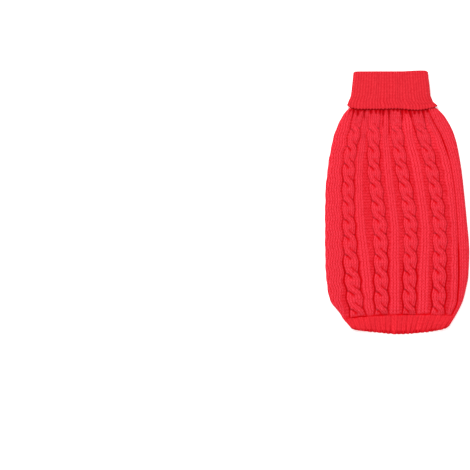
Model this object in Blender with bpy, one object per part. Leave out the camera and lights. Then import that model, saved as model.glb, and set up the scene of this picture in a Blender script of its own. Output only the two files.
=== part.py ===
"""Cable-knit sweater for a small dog, lying flat with its back up.

Frame: +Z up, +Y towards the roll collar, +X to the right of someone who looks down on the back.
The origin is under the middle of the garment, on the surface that it lies on.

The garment is a flattened tube. Every point on it is given by a station round the tube, a row along
it and a depth into the cloth, so neighbouring pieces share their seams. Sizes are in millimetres and
are turned to metres when a mesh is made.
"""

import math

import bmesh
import bpy
import numpy as np

MM = 0.001

# Cloth
WALL = 2.4  # one layer of plain knit
HOLLOW = 1.7  # between the back and the belly
BODY_HEIGHT = 2 * WALL + HOLLOW
SEAM_GAP = 0.3
GARMENT = "dog_sweater"

# Cables: two strands that change sides at each crossing. Widths are shares of half the cable's width
CABLE_RISE = 2.6  # of a strand over the purl ground
CABLE_OVER = 0.9  # more, where a strand passes over the other
CABLE_UNDER = 1.0  # less, where it passes under
STRAND_HALF = 0.53
STRAND_SPREAD = 1.3  # how much wider a strand is where it lies askew
STRAND_FLATNESS = 3.4  # of its section: 2 is round
BRIDGE_FLATNESS = 8  # the strands lie side by side between crossings, under one flat top
SWAP_SHARE = 0.66  # part of the way between crossings that a strand takes to change sides
CABLE_PINCH = 0.11  # the cable is narrower at its crossings
PINCH_TURN = -0.06
PINCH_FADE = 0.6  # turns above the first crossing over which the pinch fades out
OVER_FULLNESS = 1.4
STRAND_BLEND = 6  # how crisp the groove between the strands is
EDGE_FULLNESS = 14  # the cable's relief ends at its edge

# The columns of the mesh: places over half a cable's width, and how far each kind leans along the
# upper strand, as a share of the lean at a cable's edge
CABLE_PLACES = (1.0, 0.8, 0.5, 0.17, -0.17, -0.5, -0.8, -1.0)
CABLE_SLANT = 0.8  # lean at the cable's edge, as a share of half its width
GUTTER_SLANT = 0.75
STRIP_SLANT = 0.4
SIDE_SLANT = 0.5

# The rest of the back's relief
STRIP_RISE = 0.7  # plain ribs over the purl ground
STRIP_EDGE = 0.85  # where a rib's flat top ends, as a share of its half width
STRIP_MARGIN = 1.2  # least purl between a rib and a cable
NECK_MARGIN = 0.7  # towards the neck the ribs fill the gaps between the cables
STRIP_SPREAD = (78.0, 102.0, 0.8)  # from here to there, and by this share
EDGE_GUTTER = 0.38  # purl beside the right-hand cable, as a share of its way to the seam
LEFT_GUTTER = (2.2, 8.0)  # purl beside the left-hand cable, which widens towards the hem
LEFT_GUTTER_Y = (-80.0, -120.0)
LEFT_GUTTER_SHARE = 0.6  # of the way to the fold, at most
SIDE_RISE = 0.7  # plain knit beside the outer cables
SEAM_DIP = 0.6
GATHER_LIMIT = 1.4
LOWEST_RELIEF = -0.9
HEM_RELIEF = 0.35  # share of the relief along the hem seam
HEM_FADE = 9.0
NECK_RELIEF = 0.45  # share towards the neck
NECK_FADE = (84.0, 108.0)
ROLL_RELIEF = 0.1  # share under the rolled collar, which presses it flat
UNDER_ROLL = (109.5, 114.5)

# Length of the body
NECK_Y = 118.93
HEM_Y = -137.86
BODY_ROWS = 71
ROW_STEP = (NECK_Y - HEM_Y) / BODY_ROWS
END_ROWS = 7  # the rows stop leaning towards the ends
DROP_START = 1.5  # past the belly's hem the back comes down to the surface
DROP_LENGTH = 28.0

# Belly: its hem is drawn up in an arch
BELLY_SEAM_ARCH = 36.0
BELLY_EDGE_ARCH = 28.0
ARCH_FULLNESS = 2.2
BELLY_RISE = 0.3  # of the strip that shows beside the back's seam
BELLY_RISE_ROWS = (16, 24)
LEG_HOLE_Y = 67.4
LEG_HOLE_X = (-38.3, 31.2)
LEG_HOLE_RADIUS = (22.0, 24.0)  # across and along the body
LEG_HOLE_SIDES = 40
CUFF_DEPTH = 10.5
CUFF_RIBS = 22
CUFF_RIB = 0.6

# Collar: two layers in each half of the flattened roll
COLLAR_WALL = 2.3
COLLAR_GAP = 0.4
COLLAR_HEIGHT = 11.0
COLLAR_INNER = COLLAR_WALL + COLLAR_GAP
COLLAR_CURL = 0.5  # the free edge stands off the back
COLLAR_CURL_LENGTH = 11.0
COLLAR_RIBS = 26
COLLAR_RIB = 0.2
COLLAR_ARC_STEPS = 6
NECK_LIFT_START = 94.0  # towards the neck the body rises from the surface, over the collar's outer layer
NECK_LIFT_LENGTH = 18.0
NECK_LIFT_BELLY = COLLAR_INNER
NECK_LIFT_BACK = COLLAR_HEIGHT - COLLAR_INNER - BODY_HEIGHT

# Hem band
HEM_RIBS = 19
HEM_RIB = 0.38
HEM_LEAN = 0.55  # of a rib's width, from the edge up to the seam
HEM_CROWN = 0.28  # half the flat crown of a rib, as a share of its width
HEM_RIB_START = 0.12  # the ribs rise over this share of the band, from its seam

# Stations round the tube
ARC_STEPS = 4
BELLY_STEPS = 14
LEFT_SEAM_SHARE = 0.955  # under the left fold, by the share of the way from the right fold to the left

# Rows and columns of the plain faces, by their number
PLAIN_ROWS = [0, 1, 2, 4, 6, 8, 12, 16, 20, 26, 32, 38, 44, 52, 60, 64, 66, 68, 69, 70, 71]
PLAIN_COLUMNS = [0, 6, 12, 18, 24, 30, 36, 42, 48, 51, 52, 53, 54, 55, 56]
BELLY_ROWS = list(range(0, 20)) + list(range(20, 40, 2)) + list(range(40, 60, 4)) + list(range(60, 72))


def table(names, *rows):
    """A table with named columns, one row for each height or place."""
    return {name: [row[i] for row in rows] for i, name in enumerate(names.split())}


SIDES = table(
    "y left right",
    (119.0, -54.5, 43.0),
    (116.0, -58.0, 46.8),
    (112.4, -61.6, 51.4),
    (105.0, -67.4, 58.2),
    (85.5, -76.0, 68.9),
    (70.8, -80.0, 73.2),
    (41.5, -84.9, 78.5),
    (12.2, -87.7, 81.9),
    (-17.1, -88.2, 84.8),
    (-61.1, -88.0, 88.2),
    (-90.4, -86.9, 87.0),
    (-105.0, -85.2, 84.3),
    (-119.7, -81.8, 80.6),
    (-131.9, -73.2, 75.1),
    (-136.0, -69.5, 72.9),
    (-142.0, -66.2, 69.6),
)

# Middle of each cable, the right-hand side seam, and the half widths of the cables
KNIT = table(
    "y cable_1 cable_2 cable_3 cable_4 seam half_1 half_2 half_3 half_4",
    (119.0, -44.6, -27.2, -3.4, 21.4, 35.0, 5.8, 6.6, 6.4, 6.2),
    (100.0, -49.2, -28.0, -1.8, 26.5, 43.2, 6.2, 7.0, 6.8, 6.6),
    (80.0, -52.9, -28.7, 0.4, 32.2, 54.0, 7.0, 7.6, 7.4, 7.4),
    (45.0, -59.2, -28.6, 4.8, 41.0, 65.4, 7.4, 7.8, 7.8, 7.8),
    (0.0, -59.8, -24.0, 13.0, 48.6, 71.6, 7.5, 8.4, 8.3, 8.2),
    (-40.0, -58.2, -20.7, 16.6, 52.2, 74.2, 8.1, 8.8, 8.6, 8.6),
    (-85.0, -55.4, -19.6, 15.4, 51.4, 75.3, 9.4, 8.8, 8.4, 8.6),
    (-120.0, -51.2, -19.2, 14.8, 50.6, 73.6, 9.7, 8.8, 8.4, 8.6),
    (-140.0, -47.4, -19.0, 14.6, 49.4, 65.6, 9.0, 8.4, 8.0, 8.2),
)

# The plain rib in each gap between two cables: off the middle of the gap, and half its width
STRIPS = table(
    "y off_1 off_2 off_3 half_1 half_2 half_3",
    (119.0, 0.0, 0.0, -0.6, 2.6, 2.6, 3.2),
    (82.0, -0.6, -0.6, -1.8, 3.6, 3.6, 4.8),
    (46.0, -1.8, 0.4, 0.4, 4.2, 4.8, 5.8),
    (9.0, -3.8, -0.8, -0.2, 4.9, 4.8, 5.2),
    (-28.0, -3.9, -0.6, 0.0, 5.1, 5.0, 5.4),
    (-64.0, -1.9, -1.2, -0.3, 5.8, 5.5, 5.7),
    (-101.0, -0.5, -0.9, -0.9, 6.0, 6.0, 6.3),
    (-140.0, -0.5, -0.9, -0.9, 5.8, 5.8, 6.1),
)

# Middle of each crossing of each cable; the cables run straight above crossing 0
CROSSINGS = table(
    "turn cable_1 cable_2 cable_3 cable_4",
    (-1, 110.8, 111.4, 110.8, 110.2),
    (0, 90.0, 90.0, 89.4, 89.4),
    (1, 69.2, 68.6, 68.0, 68.6),
    (2, 48.5, 45.4, 46.6, 46.6),
    (3, 26.5, 24.7, 25.3, 24.7),
    (4, 3.3, 2.1, 3.3, 3.9),
    (5, -18.7, -18.7, -18.1, -16.9),
    (6, -39.5, -39.5, -38.8, -37.6),
    (7, -62.0, -63.3, -61.4, -60.2),
    (8, -85.2, -85.9, -83.4, -81.6),
    (9, -106.6, -108.5, -106.6, -104.8),
    (10, -128.0, -130.4, -129.2, -128.0),
    (11, -150.1, -152.6, -151.6, -150.6),
)

# Gathers at the neck seam: place there, lean to the right per mm down, depth, half width, length
GATHERS = table(
    "x lean depth half_width length",
    (-55.9, -0.22, 1.0, 1.7, 26.0),
    (-51.6, -0.21, 1.1, 1.8, 80.0),
    (-47.6, -0.06, 1.5, 1.7, 26.0),
    (-43.6, -0.10, 0.7, 1.5, 12.0),
    (-39.8, -0.04, 1.4, 1.7, 20.0),
    (-32.2, 0.00, 1.5, 1.8, 20.0),
    (-26.0, 0.00, 1.1, 1.6, 14.0),
    (-21.2, 0.02, 0.9, 1.5, 14.0),
    (-16.6, -0.05, 1.4, 1.7, 44.0),
    (-10.4, 0.02, 1.5, 1.8, 48.0),
    (-4.6, 0.00, 1.0, 1.5, 13.0),
    (0.2, 0.02, 1.1, 1.5, 14.0),
    (5.4, 0.06, 1.5, 1.7, 52.0),
    (9.4, 0.12, 0.8, 1.5, 12.0),
    (12.6, 0.30, 1.7, 1.8, 62.0),
    (20.1, 0.10, 1.1, 1.6, 14.0),
    (24.9, 0.14, 1.4, 1.7, 24.0),
    (29.9, 0.22, 1.5, 1.8, 46.0),
    (34.6, 0.30, 1.1, 1.6, 17.0),
    (38.6, 0.36, 1.2, 1.7, 18.0),
)

# Hem seam and hem edge on the back, by the share of the way from the left fold to the right one
HEM_SEAM = table(
    "share y",
    (0.00, -141.9),
    (0.20, -138.6),
    (0.47, -136.8),
    (0.75, -136.6),
    (1.00, -138.0),
)
HEM_EDGE = table(
    "share x y",
    (0.00, -55.2, -154.7),
    (0.06, -48.2, -156.4),
    (0.24, -26.0, -158.8),
    (0.47, 1.0, -161.0),
    (0.74, 32.7, -158.9),
    (0.94, 56.0, -155.0),
    (1.00, 63.5, -151.6),
)

COLLAR_SIDES = table(
    "y outer_left outer_right inner_left inner_right",
    (112.0, -60.9, 49.6, -57.0, 46.0),
    (118.9, -60.9, 48.6, -54.5, 43.0),
    (123.3, -59.6, 43.6, -54.2, 39.6),
    (130.7, -56.7, 40.7, -53.8, 37.8),
    (141.7, -55.3, 39.7, -52.6, 37.0),
    (156.3, -53.8, 37.9, -51.1, 35.2),
    (161.5, -53.3, 37.7, -50.6, 35.0),
)
COLLAR_EDGE = table(
    "x y",
    (-60.0, 118.6),
    (-54.0, 115.4),
    (-45.0, 113.7),
    (-30.0, 113.7),
    (-1.5, 114.2),
    (23.0, 112.6),
    (36.8, 114.4),
    (48.8, 117.4),
)
COLLAR_FOLD = table(
    "x y",
    (-53.8, 158.6),
    (-51.2, 159.7),
    (-45.0, 159.9),
    (5.0, 160.0),
    (28.8, 161.0),
    (34.0, 160.9),
    (37.9, 159.2),
)
COLLAR_EDGE_ENDS = (-59.0, 47.5)  # of the flattened collar at its free edge

KNIT_COLOURS = {
    "back_panel": (0.84, 0.028, 0.045),
    "belly_panel": (0.84, 0.028, 0.045),
    "collar": (0.80, 0.024, 0.040),
    "hem_band": (0.80, 0.020, 0.034),
    "cuff_left": (0.80, 0.020, 0.034),
    "cuff_right": (0.80, 0.020, 0.034),
}


def ease(t):
    """0 to 1 with a soft start and end."""
    t = min(max(t, 0.0), 1.0)
    return t * t * (3 - 2 * t)


def curve_through(rows, key, column):
    """A smooth function through two columns of a table, with no overshoot between its rows."""
    pairs = sorted(zip(rows[key], rows[column]))
    at = np.array([pair[0] for pair in pairs])
    value = np.array([pair[1] for pair in pairs])
    step = np.diff(at)
    rise = np.diff(value) / step
    slope = np.zeros(len(at))
    slope[0] = rise[0]
    slope[-1] = rise[-1]
    for i in range(1, len(at) - 1):
        if rise[i - 1] * rise[i] > 0:
            slope[i] = 2 * rise[i - 1] * rise[i] / (rise[i - 1] + rise[i])

    def read(where):
        where = min(max(where, at[0]), at[-1])
        i = min(int(np.searchsorted(at, where, side="right")) - 1, len(step) - 1)
        t = (where - at[i]) / step[i]
        start = value[i] * (1 + 2 * t) * (1 - t) ** 2 + slope[i] * step[i] * t * (1 - t) ** 2
        end = value[i + 1] * t * t * (3 - 2 * t) + slope[i + 1] * step[i] * t * t * (t - 1)
        return float(start + end)

    return read


left_side = curve_through(SIDES, "y", "left")
right_side = curve_through(SIDES, "y", "right")
side_seam = curve_through(KNIT, "y", "seam")
strip_offs = [curve_through(STRIPS, "y", f"off_{i}") for i in range(1, 4)]
strip_halves = [curve_through(STRIPS, "y", f"half_{i}") for i in range(1, 4)]
cable_middles = [curve_through(KNIT, "y", f"cable_{i}") for i in range(1, 5)]
cable_halves = [curve_through(KNIT, "y", f"half_{i}") for i in range(1, 5)]
cable_turns = [curve_through(CROSSINGS, f"cable_{i}", "turn") for i in range(1, 5)]
hem_seam = curve_through(HEM_SEAM, "share", "y")
hem_edge_x = curve_through(HEM_EDGE, "share", "x")
hem_edge_y = curve_through(HEM_EDGE, "share", "y")
collar_edge = curve_through(COLLAR_EDGE, "x", "y")
collar_fold = curve_through(COLLAR_FOLD, "x", "y")
collar_sides = {name: curve_through(COLLAR_SIDES, "y", name) for name in COLLAR_SIDES if name != "y"}


def stadium(side, share, left, right, low, high):
    """A place on a flattened ring, clockwise from its upper left, and the way out of the cloth there."""
    radius = (high - low) / 2
    middle = (high + low) / 2
    flat = right - left - 2 * radius
    if side == "top":
        return left + radius + share * flat, high, 0.0, 1.0
    if side == "bottom":
        return right - radius - share * flat, low, 0.0, -1.0
    if side == "right":
        angle = math.pi / 2 - math.pi * share
        centre = right - radius
    else:
        angle = -math.pi / 2 - math.pi * share
        centre = left + radius
    out_x = math.cos(angle)
    out_z = math.sin(angle)
    return centre + radius * out_x, middle + radius * out_z, out_x, out_z


def arched(share, rise):
    """Rise of the belly's hem between the two folds."""
    return rise * (1 - abs(2 * share - 1) ** ARCH_FULLNESS)


def row_to_seam(row_y, seam):
    """A row moved so that the last one lies on the hem seam."""
    return NECK_Y - (NECK_Y - row_y) * (NECK_Y - seam) / (NECK_Y - HEM_Y)


def left_fold(row_y):
    return left_side(row_to_seam(row_y, hem_seam(0)))


def right_fold(row_y):
    return right_side(row_to_seam(row_y, hem_seam(1)))


def seam_y(share, belly):
    """The hem seam at a share of the way from the left fold to the right one."""
    if not belly:
        return hem_seam(share)
    return hem_seam(0) + (hem_seam(1) - hem_seam(0)) * share + arched(share, BELLY_SEAM_ARCH)


def edge_y(share, belly):
    """The free edge of the hem."""
    if not belly:
        return hem_edge_y(share)
    return hem_edge_y(0) + (hem_edge_y(1) - hem_edge_y(0)) * share + arched(share, BELLY_EDGE_ARCH)


def body_y(row_y, belly, x):
    """Where a knitted row lies at x: the rows crowd towards the drawn-up hem of the belly."""
    left = left_fold(row_y)
    share = (x - left) / (right_fold(row_y) - left)
    return row_to_seam(row_y, seam_y(min(max(share, 0.0), 1.0), belly))


def belly_edge_at(x):
    """The free edge of the hem under the belly, at x."""
    share = (x - hem_edge_x(0)) / (hem_edge_x(1) - hem_edge_x(0))
    return edge_y(min(max(share, 0.0), 1.0), True)


def settle(x, y, z):
    """Lifts the neck over the rolled collar, and lets the back down where no belly lies under it."""
    upper = ease((z - WALL) / HOLLOW)
    neck = ease((y - NECK_LIFT_START) / NECK_LIFT_LENGTH)
    lift = neck * (NECK_LIFT_BELLY + (NECK_LIFT_BACK - NECK_LIFT_BELLY) * upper)
    clear = ease((belly_edge_at(x) - DROP_START - y) / DROP_LENGTH)
    return z + lift - clear * upper * (WALL + HOLLOW)


def strand(off):
    """Section of one strand of a cable: flat on top, round at its sides."""
    return math.sqrt(1 - abs(off) ** STRAND_FLATNESS) if abs(off) < 1 else 0.0


def turn_at(cable, row_y):
    """How far a row lies below the middle of its crossing, as a share of the way to the next one."""
    crossings = cable_turns[cable](row_y)
    return max(crossings - max(math.floor(crossings + 0.5), 0), -0.5)


def cable_height(across, turn):
    """Height of a two-strand cable over its purl ground; across runs from -1 to 1 over its width."""
    swap = ease(turn / SWAP_SHARE + 0.5)
    steep = 4 * swap * (1 - swap)
    half = STRAND_HALF * math.sqrt(1 + (STRAND_SPREAD * steep) ** 2)
    over = math.cos(math.pi * turn) ** OVER_FULLNESS
    front = strand((across - swap + 0.5) / half) * (CABLE_RISE + CABLE_OVER * over)
    rear = strand((across + swap - 0.5) / half) * (CABLE_RISE - CABLE_UNDER * over)
    bridge = math.sqrt(1 - abs(across) ** BRIDGE_FLATNESS) * CABLE_RISE * (1 - over)
    top = (max(front, rear) ** STRAND_BLEND + bridge**STRAND_BLEND) ** (1 / STRAND_BLEND)
    return top * (1 - abs(across) ** EDGE_FULLNESS)


def half_cable(cable, y):
    """Half the width of a cable, which is pinched at its crossings."""
    turn = turn_at(cable, y)
    pinch = CABLE_PINCH * math.cos(2 * math.pi * (turn - PINCH_TURN))
    if cable_turns[cable](y) < 0:
        pinch *= ease(cable_turns[cable](y) + PINCH_FADE)
    return cable_halves[cable](y) * (1 - pinch)


def gather_depth(x, y):
    """Depth of the puckers below the neck seam."""
    down = NECK_Y - y
    total = 0.0
    for place, lean, depth, half_width, length in zip(*GATHERS.values()):
        if down < length:
            off = (x - place - lean * down) / half_width
            total += depth * math.exp(-off * off) * ease((length - down) / length)
    return min(total, GATHER_LIMIT)


def back_columns():
    """Columns of the back from its right-hand seam to the left fold, as (kind, cable, place)."""
    columns = [("seam", 3, 0.0), ("strip", 3, 0.8), ("strip", 3, -0.8), ("gutter", 3, 0.5)]
    for cable in (3, 2, 1, 0):
        columns += [("cable", cable, across) for across in CABLE_PLACES]
        if cable:
            columns.append(("gutter", cable, -0.5))
            columns.append(("strip", cable - 1, STRIP_EDGE))
            columns.append(("strip", cable - 1, -STRIP_EDGE))
            columns.append(("gutter", cable - 1, 0.5))
    columns += [("gutter", 0, -0.5), ("side", 0, 1.0), ("side", 0, 0.5), ("side", 0, 0.0)]
    return columns


def strip_of(cable, y):
    """Left and right edge of the plain rib to the right of a cable."""
    edge = cable_middles[cable](y) + half_cable(cable, y)
    if cable == 3:
        return edge + EDGE_GUTTER * (side_seam(y) - edge), side_seam(y)
    other_edge = cable_middles[cable + 1](y) - half_cable(cable + 1, y)
    middle = (edge + other_edge) / 2 + strip_offs[cable](y)
    low = max(middle - strip_halves[cable](y), edge + STRIP_MARGIN)
    high = min(middle + strip_halves[cable](y), other_edge - STRIP_MARGIN)
    first, last, share = STRIP_SPREAD
    spread = share * ease((y - first) / (last - first))
    low += (edge + NECK_MARGIN - low) * spread
    high += (other_edge - NECK_MARGIN - high) * spread
    return low, high


def back_lane(column, y):
    """The x, the raised height and the slant of one column of the back."""
    kind, cable, place = column
    middle = cable_middles[cable](y)
    half = half_cable(cable, y)
    slant = CABLE_SLANT * cable_halves[cable](y)
    strip_left, strip_right = strip_of(cable, y)
    strip_middle = (strip_left + strip_right) / 2
    strip_half = (strip_right - strip_left) / 2
    if kind == "cable":
        return middle + place * half, None, -slant * place
    if kind == "seam":
        return side_seam(y), -SEAM_DIP, 0.0
    if kind == "strip":
        lean = 0.0 if cable == 3 else slant * STRIP_SLANT * place / STRIP_EDGE
        return strip_middle + place * strip_half, STRIP_RISE, lean
    if kind == "gutter" and place > 0:
        return (middle + half + strip_left) / 2, 0.0, -slant * GUTTER_SLANT
    if kind == "gutter" and cable:
        left_strip = strip_of(cable - 1, y)[1]
        return (middle - half + left_strip) / 2, 0.0, slant * GUTTER_SLANT
    ground = middle - half
    tangent = left_fold(y) + BODY_HEIGHT / 2
    widens = ease((LEFT_GUTTER_Y[0] - y) / (LEFT_GUTTER_Y[0] - LEFT_GUTTER_Y[1]))
    gutter = LEFT_GUTTER[0] + (LEFT_GUTTER[1] - LEFT_GUTTER[0]) * widens
    inner = ground - min(gutter, LEFT_GUTTER_SHARE * (ground - tangent))
    if kind == "gutter":
        return (ground + inner) / 2, 0.0, slant * GUTTER_SLANT
    return tangent + (inner - tangent) * place, SIDE_RISE * ease(place * 2), slant * SIDE_SLANT * place


def raised(column, x, row_y, y, height):
    """Height of the outer face of the back over the plain wall."""
    kind, cable, across = column
    if kind == "cable":
        height = cable_height(across, turn_at(cable, row_y))
    hem = HEM_RELIEF + (1 - HEM_RELIEF) * ease((row_y - HEM_Y + 2.0) / HEM_FADE)
    neck = 1 - (1 - NECK_RELIEF) * ease((y - NECK_FADE[0]) / (NECK_FADE[1] - NECK_FADE[0]))
    free = 1 - ease((y - UNDER_ROLL[0]) / (UNDER_ROLL[1] - UNDER_ROLL[0]))
    height = height * hem * neck * (ROLL_RELIEF + (1 - ROLL_RELIEF) * free)
    return max(height - gather_depth(x, y) * free, LOWEST_RELIEF)


def add_object(name, points, faces):
    """A named object from points in millimetres, in its own colour of yarn."""
    mesh = bpy.data.meshes.new(name)
    mesh.from_pydata([tuple(c * MM for c in point) for point in points], [], faces)
    mesh.validate()
    shape = bmesh.new()
    shape.from_mesh(mesh)
    bmesh.ops.recalc_face_normals(shape, faces=shape.faces)
    shape.to_mesh(mesh)
    shape.free()
    material = bpy.data.materials.new(name + "_yarn")
    material.use_nodes = True
    surface = material.node_tree.nodes["Principled BSDF"]
    surface.inputs["Base Color"].default_value = (*KNIT_COLOURS[name], 1)
    surface.inputs["Roughness"].default_value = 0.9
    surface.inputs["Metallic"].default_value = 0.0
    material.diffuse_color = (*KNIT_COLOURS[name], 1)
    mesh.materials.append(material)
    piece = bpy.data.objects.new(name, mesh)
    bpy.data.collections[GARMENT].objects.link(piece)
    return piece


def ring_of_sections(name, sections):
    """A closed tube of cloth: closed sections of equal length, joined one to the next."""
    count = len(sections[0])
    points = [point for section in sections for point in section]
    faces = []
    for i in range(len(sections)):
        here = i * count
        there = (i + 1) % len(sections) * count
        for j in range(count):
            k = (j + 1) % count
            faces.append((here + j, there + j, there + k, here + k))
    return add_object(name, points, faces)


def grid_faces(grid, heights=None):
    """Faces of a grid of point numbers. With true heights given for the middle of each cell, a cell is
    split along the diagonal that lies closer to its height."""
    faces = []
    for r in range(len(grid) - 1):
        for c in range(len(grid[0]) - 1):
            a, b = grid[r][c], grid[r][c + 1]
            d, e = grid[r + 1][c], grid[r + 1][c + 1]
            if heights is None:
                faces.append((a, b, e, d))
                continue
            middle, z = heights[r][c]
            if abs((z[0] + z[3]) / 2 - middle) < abs((z[1] + z[2]) / 2 - middle):
                faces += [(a, b, e), (a, e, d)]
            else:
                faces += [(a, b, d), (b, e, d)]
    return faces


def rim(grid):
    """The four sides of a grid, in order round it."""
    return [
        grid[0],
        [row[-1] for row in grid],
        grid[-1][::-1],
        [row[0] for row in grid][::-1],
    ]


def zip_sides(outer, inner):
    """Triangles between two lines of points that run side by side, each from 0 to 1 along its length."""
    faces = []
    i = 0
    j = 0
    while i < len(outer) - 1 or j < len(inner) - 1:
        next_outer = outer[i + 1][1] if i < len(outer) - 1 else 2.0
        next_inner = inner[j + 1][1] if j < len(inner) - 1 else 2.0
        if next_outer <= next_inner:
            faces.append((outer[i][0], inner[j][0], outer[i + 1][0]))
            i += 1
        else:
            faces.append((outer[i][0], inner[j][0], inner[j + 1][0]))
            j += 1
    return faces


def panel(name, rows, columns, inner_rows, inner_columns, point_at, middle_at=None):
    """A sheet of cloth: a fine outer face, a plain inner face, and the edge between the two.
    point_at(row, column, inside) gives a point."""
    points = []

    def number(row_list, column_list, inside):
        grid = []
        for row in row_list:
            line = []
            for column in column_list:
                line.append(len(points))
                points.append(point_at(row, column, inside))
            grid.append(line)
        return grid

    outer = number(rows, columns, False)
    inner = number(inner_rows, inner_columns, True)
    heights = None
    if middle_at:
        heights = []
        for r in range(len(rows) - 1):
            line = []
            for c in range(len(columns) - 1):
                corners = [outer[r][c], outer[r][c + 1], outer[r + 1][c], outer[r + 1][c + 1]]
                z = [points[corner][2] for corner in corners]
                line.append((middle_at(rows[r], columns[c], columns[c + 1], z), z))
            heights.append(line)
    faces = grid_faces(outer, heights) + grid_faces(inner)

    along = [columns, rows, columns[::-1], rows[::-1]]
    along_inner = [inner_columns, inner_rows, inner_columns[::-1], inner_rows[::-1]]
    for side, inner_side, at, inner_at in zip(rim(outer), rim(inner), along, along_inner):
        span = at[-1] - at[0]
        fine = [(n, (place - at[0]) / span) for n, place in zip(side, at)]
        plain = [(n, (place - at[0]) / span) for n, place in zip(inner_side, inner_at)]
        faces += zip_sides(fine, plain)
    return add_object(name, points, faces)


def body_point(side, share, x, row_y, depth):
    """A point of the plain tube. x is given on the back, where the columns follow the cables."""
    left = left_fold(row_y)
    right = right_fold(row_y)
    place_x, z, out_x, out_z = stadium(side, share, left, right, 0.0, BODY_HEIGHT)
    if x is not None:
        place_x = x
    y = body_y(row_y, out_z < 0, place_x)
    px = place_x - depth * out_x
    pz = z - depth * out_z
    return px, y, settle(px, y, pz)


def make_back():
    lanes = back_columns()
    arc = [("left", 1 - i / ARC_STEPS) for i in range(1, ARC_STEPS + 1)]
    stations = lanes + arc + [("bottom", LEFT_SEAM_SHARE)]

    def point_at(row, column, inside):
        station = stations[column]
        row_y = NECK_Y - row * ROW_STEP
        if column >= len(lanes):
            depth = WALL if inside else 0.0
            gap = SEAM_GAP / 2 if station[0] == "bottom" else 0.0
            x, y, z = body_point(station[0], station[1], None, row_y, depth)
            return x - gap, y, z
        ends = ease(min(row, BODY_ROWS - row) / END_ROWS)
        lean = 0.0 if inside else back_lane(station, row_y)[2] * ends
        row_y += lean
        x, height, _ = back_lane(station, row_y)
        if station[0] == "seam":
            x -= SEAM_GAP / 2
        if inside:
            return body_point("top", 0, x, row_y, WALL)
        y = body_y(row_y, False, x)
        return body_point("top", 0, x, row_y, -raised(station, x, row_y, y, height))

    def middle_at(row, column, next_column, z):
        """True height at the middle of a cell of a cable, and the mean of its corners elsewhere."""
        if next_column >= len(lanes) or lanes[column][0] != "cable" or lanes[next_column][0] != "cable":
            return sum(z) / 4
        across = (lanes[column][2] + lanes[next_column][2]) / 2
        middle = ("cable", lanes[column][1], across)
        row_y = NECK_Y - (row + 0.5) * ROW_STEP
        ends = ease(min(row + 0.5, BODY_ROWS - row - 0.5) / END_ROWS)
        row_y += back_lane(middle, row_y)[2] * ends
        x, _, _ = back_lane(middle, row_y)
        y = body_y(row_y, False, x)
        return body_point("top", 0, x, row_y, -raised(middle, x, row_y, y, 0.0))[2]

    rows = list(range(BODY_ROWS + 1))
    columns = list(range(len(stations)))
    return panel("back_panel", rows, columns, PLAIN_ROWS, PLAIN_COLUMNS, point_at, middle_at)


def make_belly():
    bottom = [("bottom", i / BELLY_STEPS) for i in range(BELLY_STEPS)] + [("bottom", LEFT_SEAM_SHARE)]
    arc = [("right", i / ARC_STEPS) for i in range(ARC_STEPS)]
    stations = [("edge", 0.0), ("edge", 0.3), ("edge", 0.7)] + arc + bottom

    def point_at(row, column, inside):
        side, share = stations[column]
        row_y = NECK_Y - row * ROW_STEP
        depth = WALL if inside else 0.0
        if side == "edge":
            seam = side_seam(row_y) + SEAM_GAP / 2
            x = seam + (right_fold(row_y) - BODY_HEIGHT / 2 - seam) * share
            if not inside:
                first, last = BELLY_RISE_ROWS
                depth = SEAM_DIP if share == 0 else -BELLY_RISE * ease((row - first) / (last - first))
            return body_point("top", 0, x, row_y, depth)
        x, y, z = body_point(side, share, None, row_y, depth)
        gap = SEAM_GAP / 2 if share == LEFT_SEAM_SHARE else 0.0
        return x + gap, y, z

    columns = list(range(len(stations)))
    piece = panel("belly_panel", BELLY_ROWS, columns, PLAIN_ROWS, columns, point_at)
    for place in LEG_HOLE_X:
        cut_leg_hole(piece, place)
    return piece


def cut_leg_hole(piece, place):
    """An oval hole through the belly only."""
    bpy.ops.mesh.primitive_cylinder_add(
        vertices=LEG_HOLE_SIDES,
        radius=MM,
        depth=3 * WALL * MM / 2,
        location=(place * MM, LEG_HOLE_Y * MM, WALL * MM / 2),
    )
    cutter = bpy.context.object
    cutter.name = "leg_hole_cutter"
    cutter.scale = (LEG_HOLE_RADIUS[0], LEG_HOLE_RADIUS[1], 1)
    for collection in list(cutter.users_collection):
        collection.objects.unlink(cutter)
    bpy.data.collections["cutters"].objects.link(cutter)
    cutter.hide_render = True
    cutter.display_type = "WIRE"
    cut = piece.modifiers.new("leg hole", "BOOLEAN")
    cut.operation = "DIFFERENCE"
    cut.solver = "EXACT"
    cut.object = cutter


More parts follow.
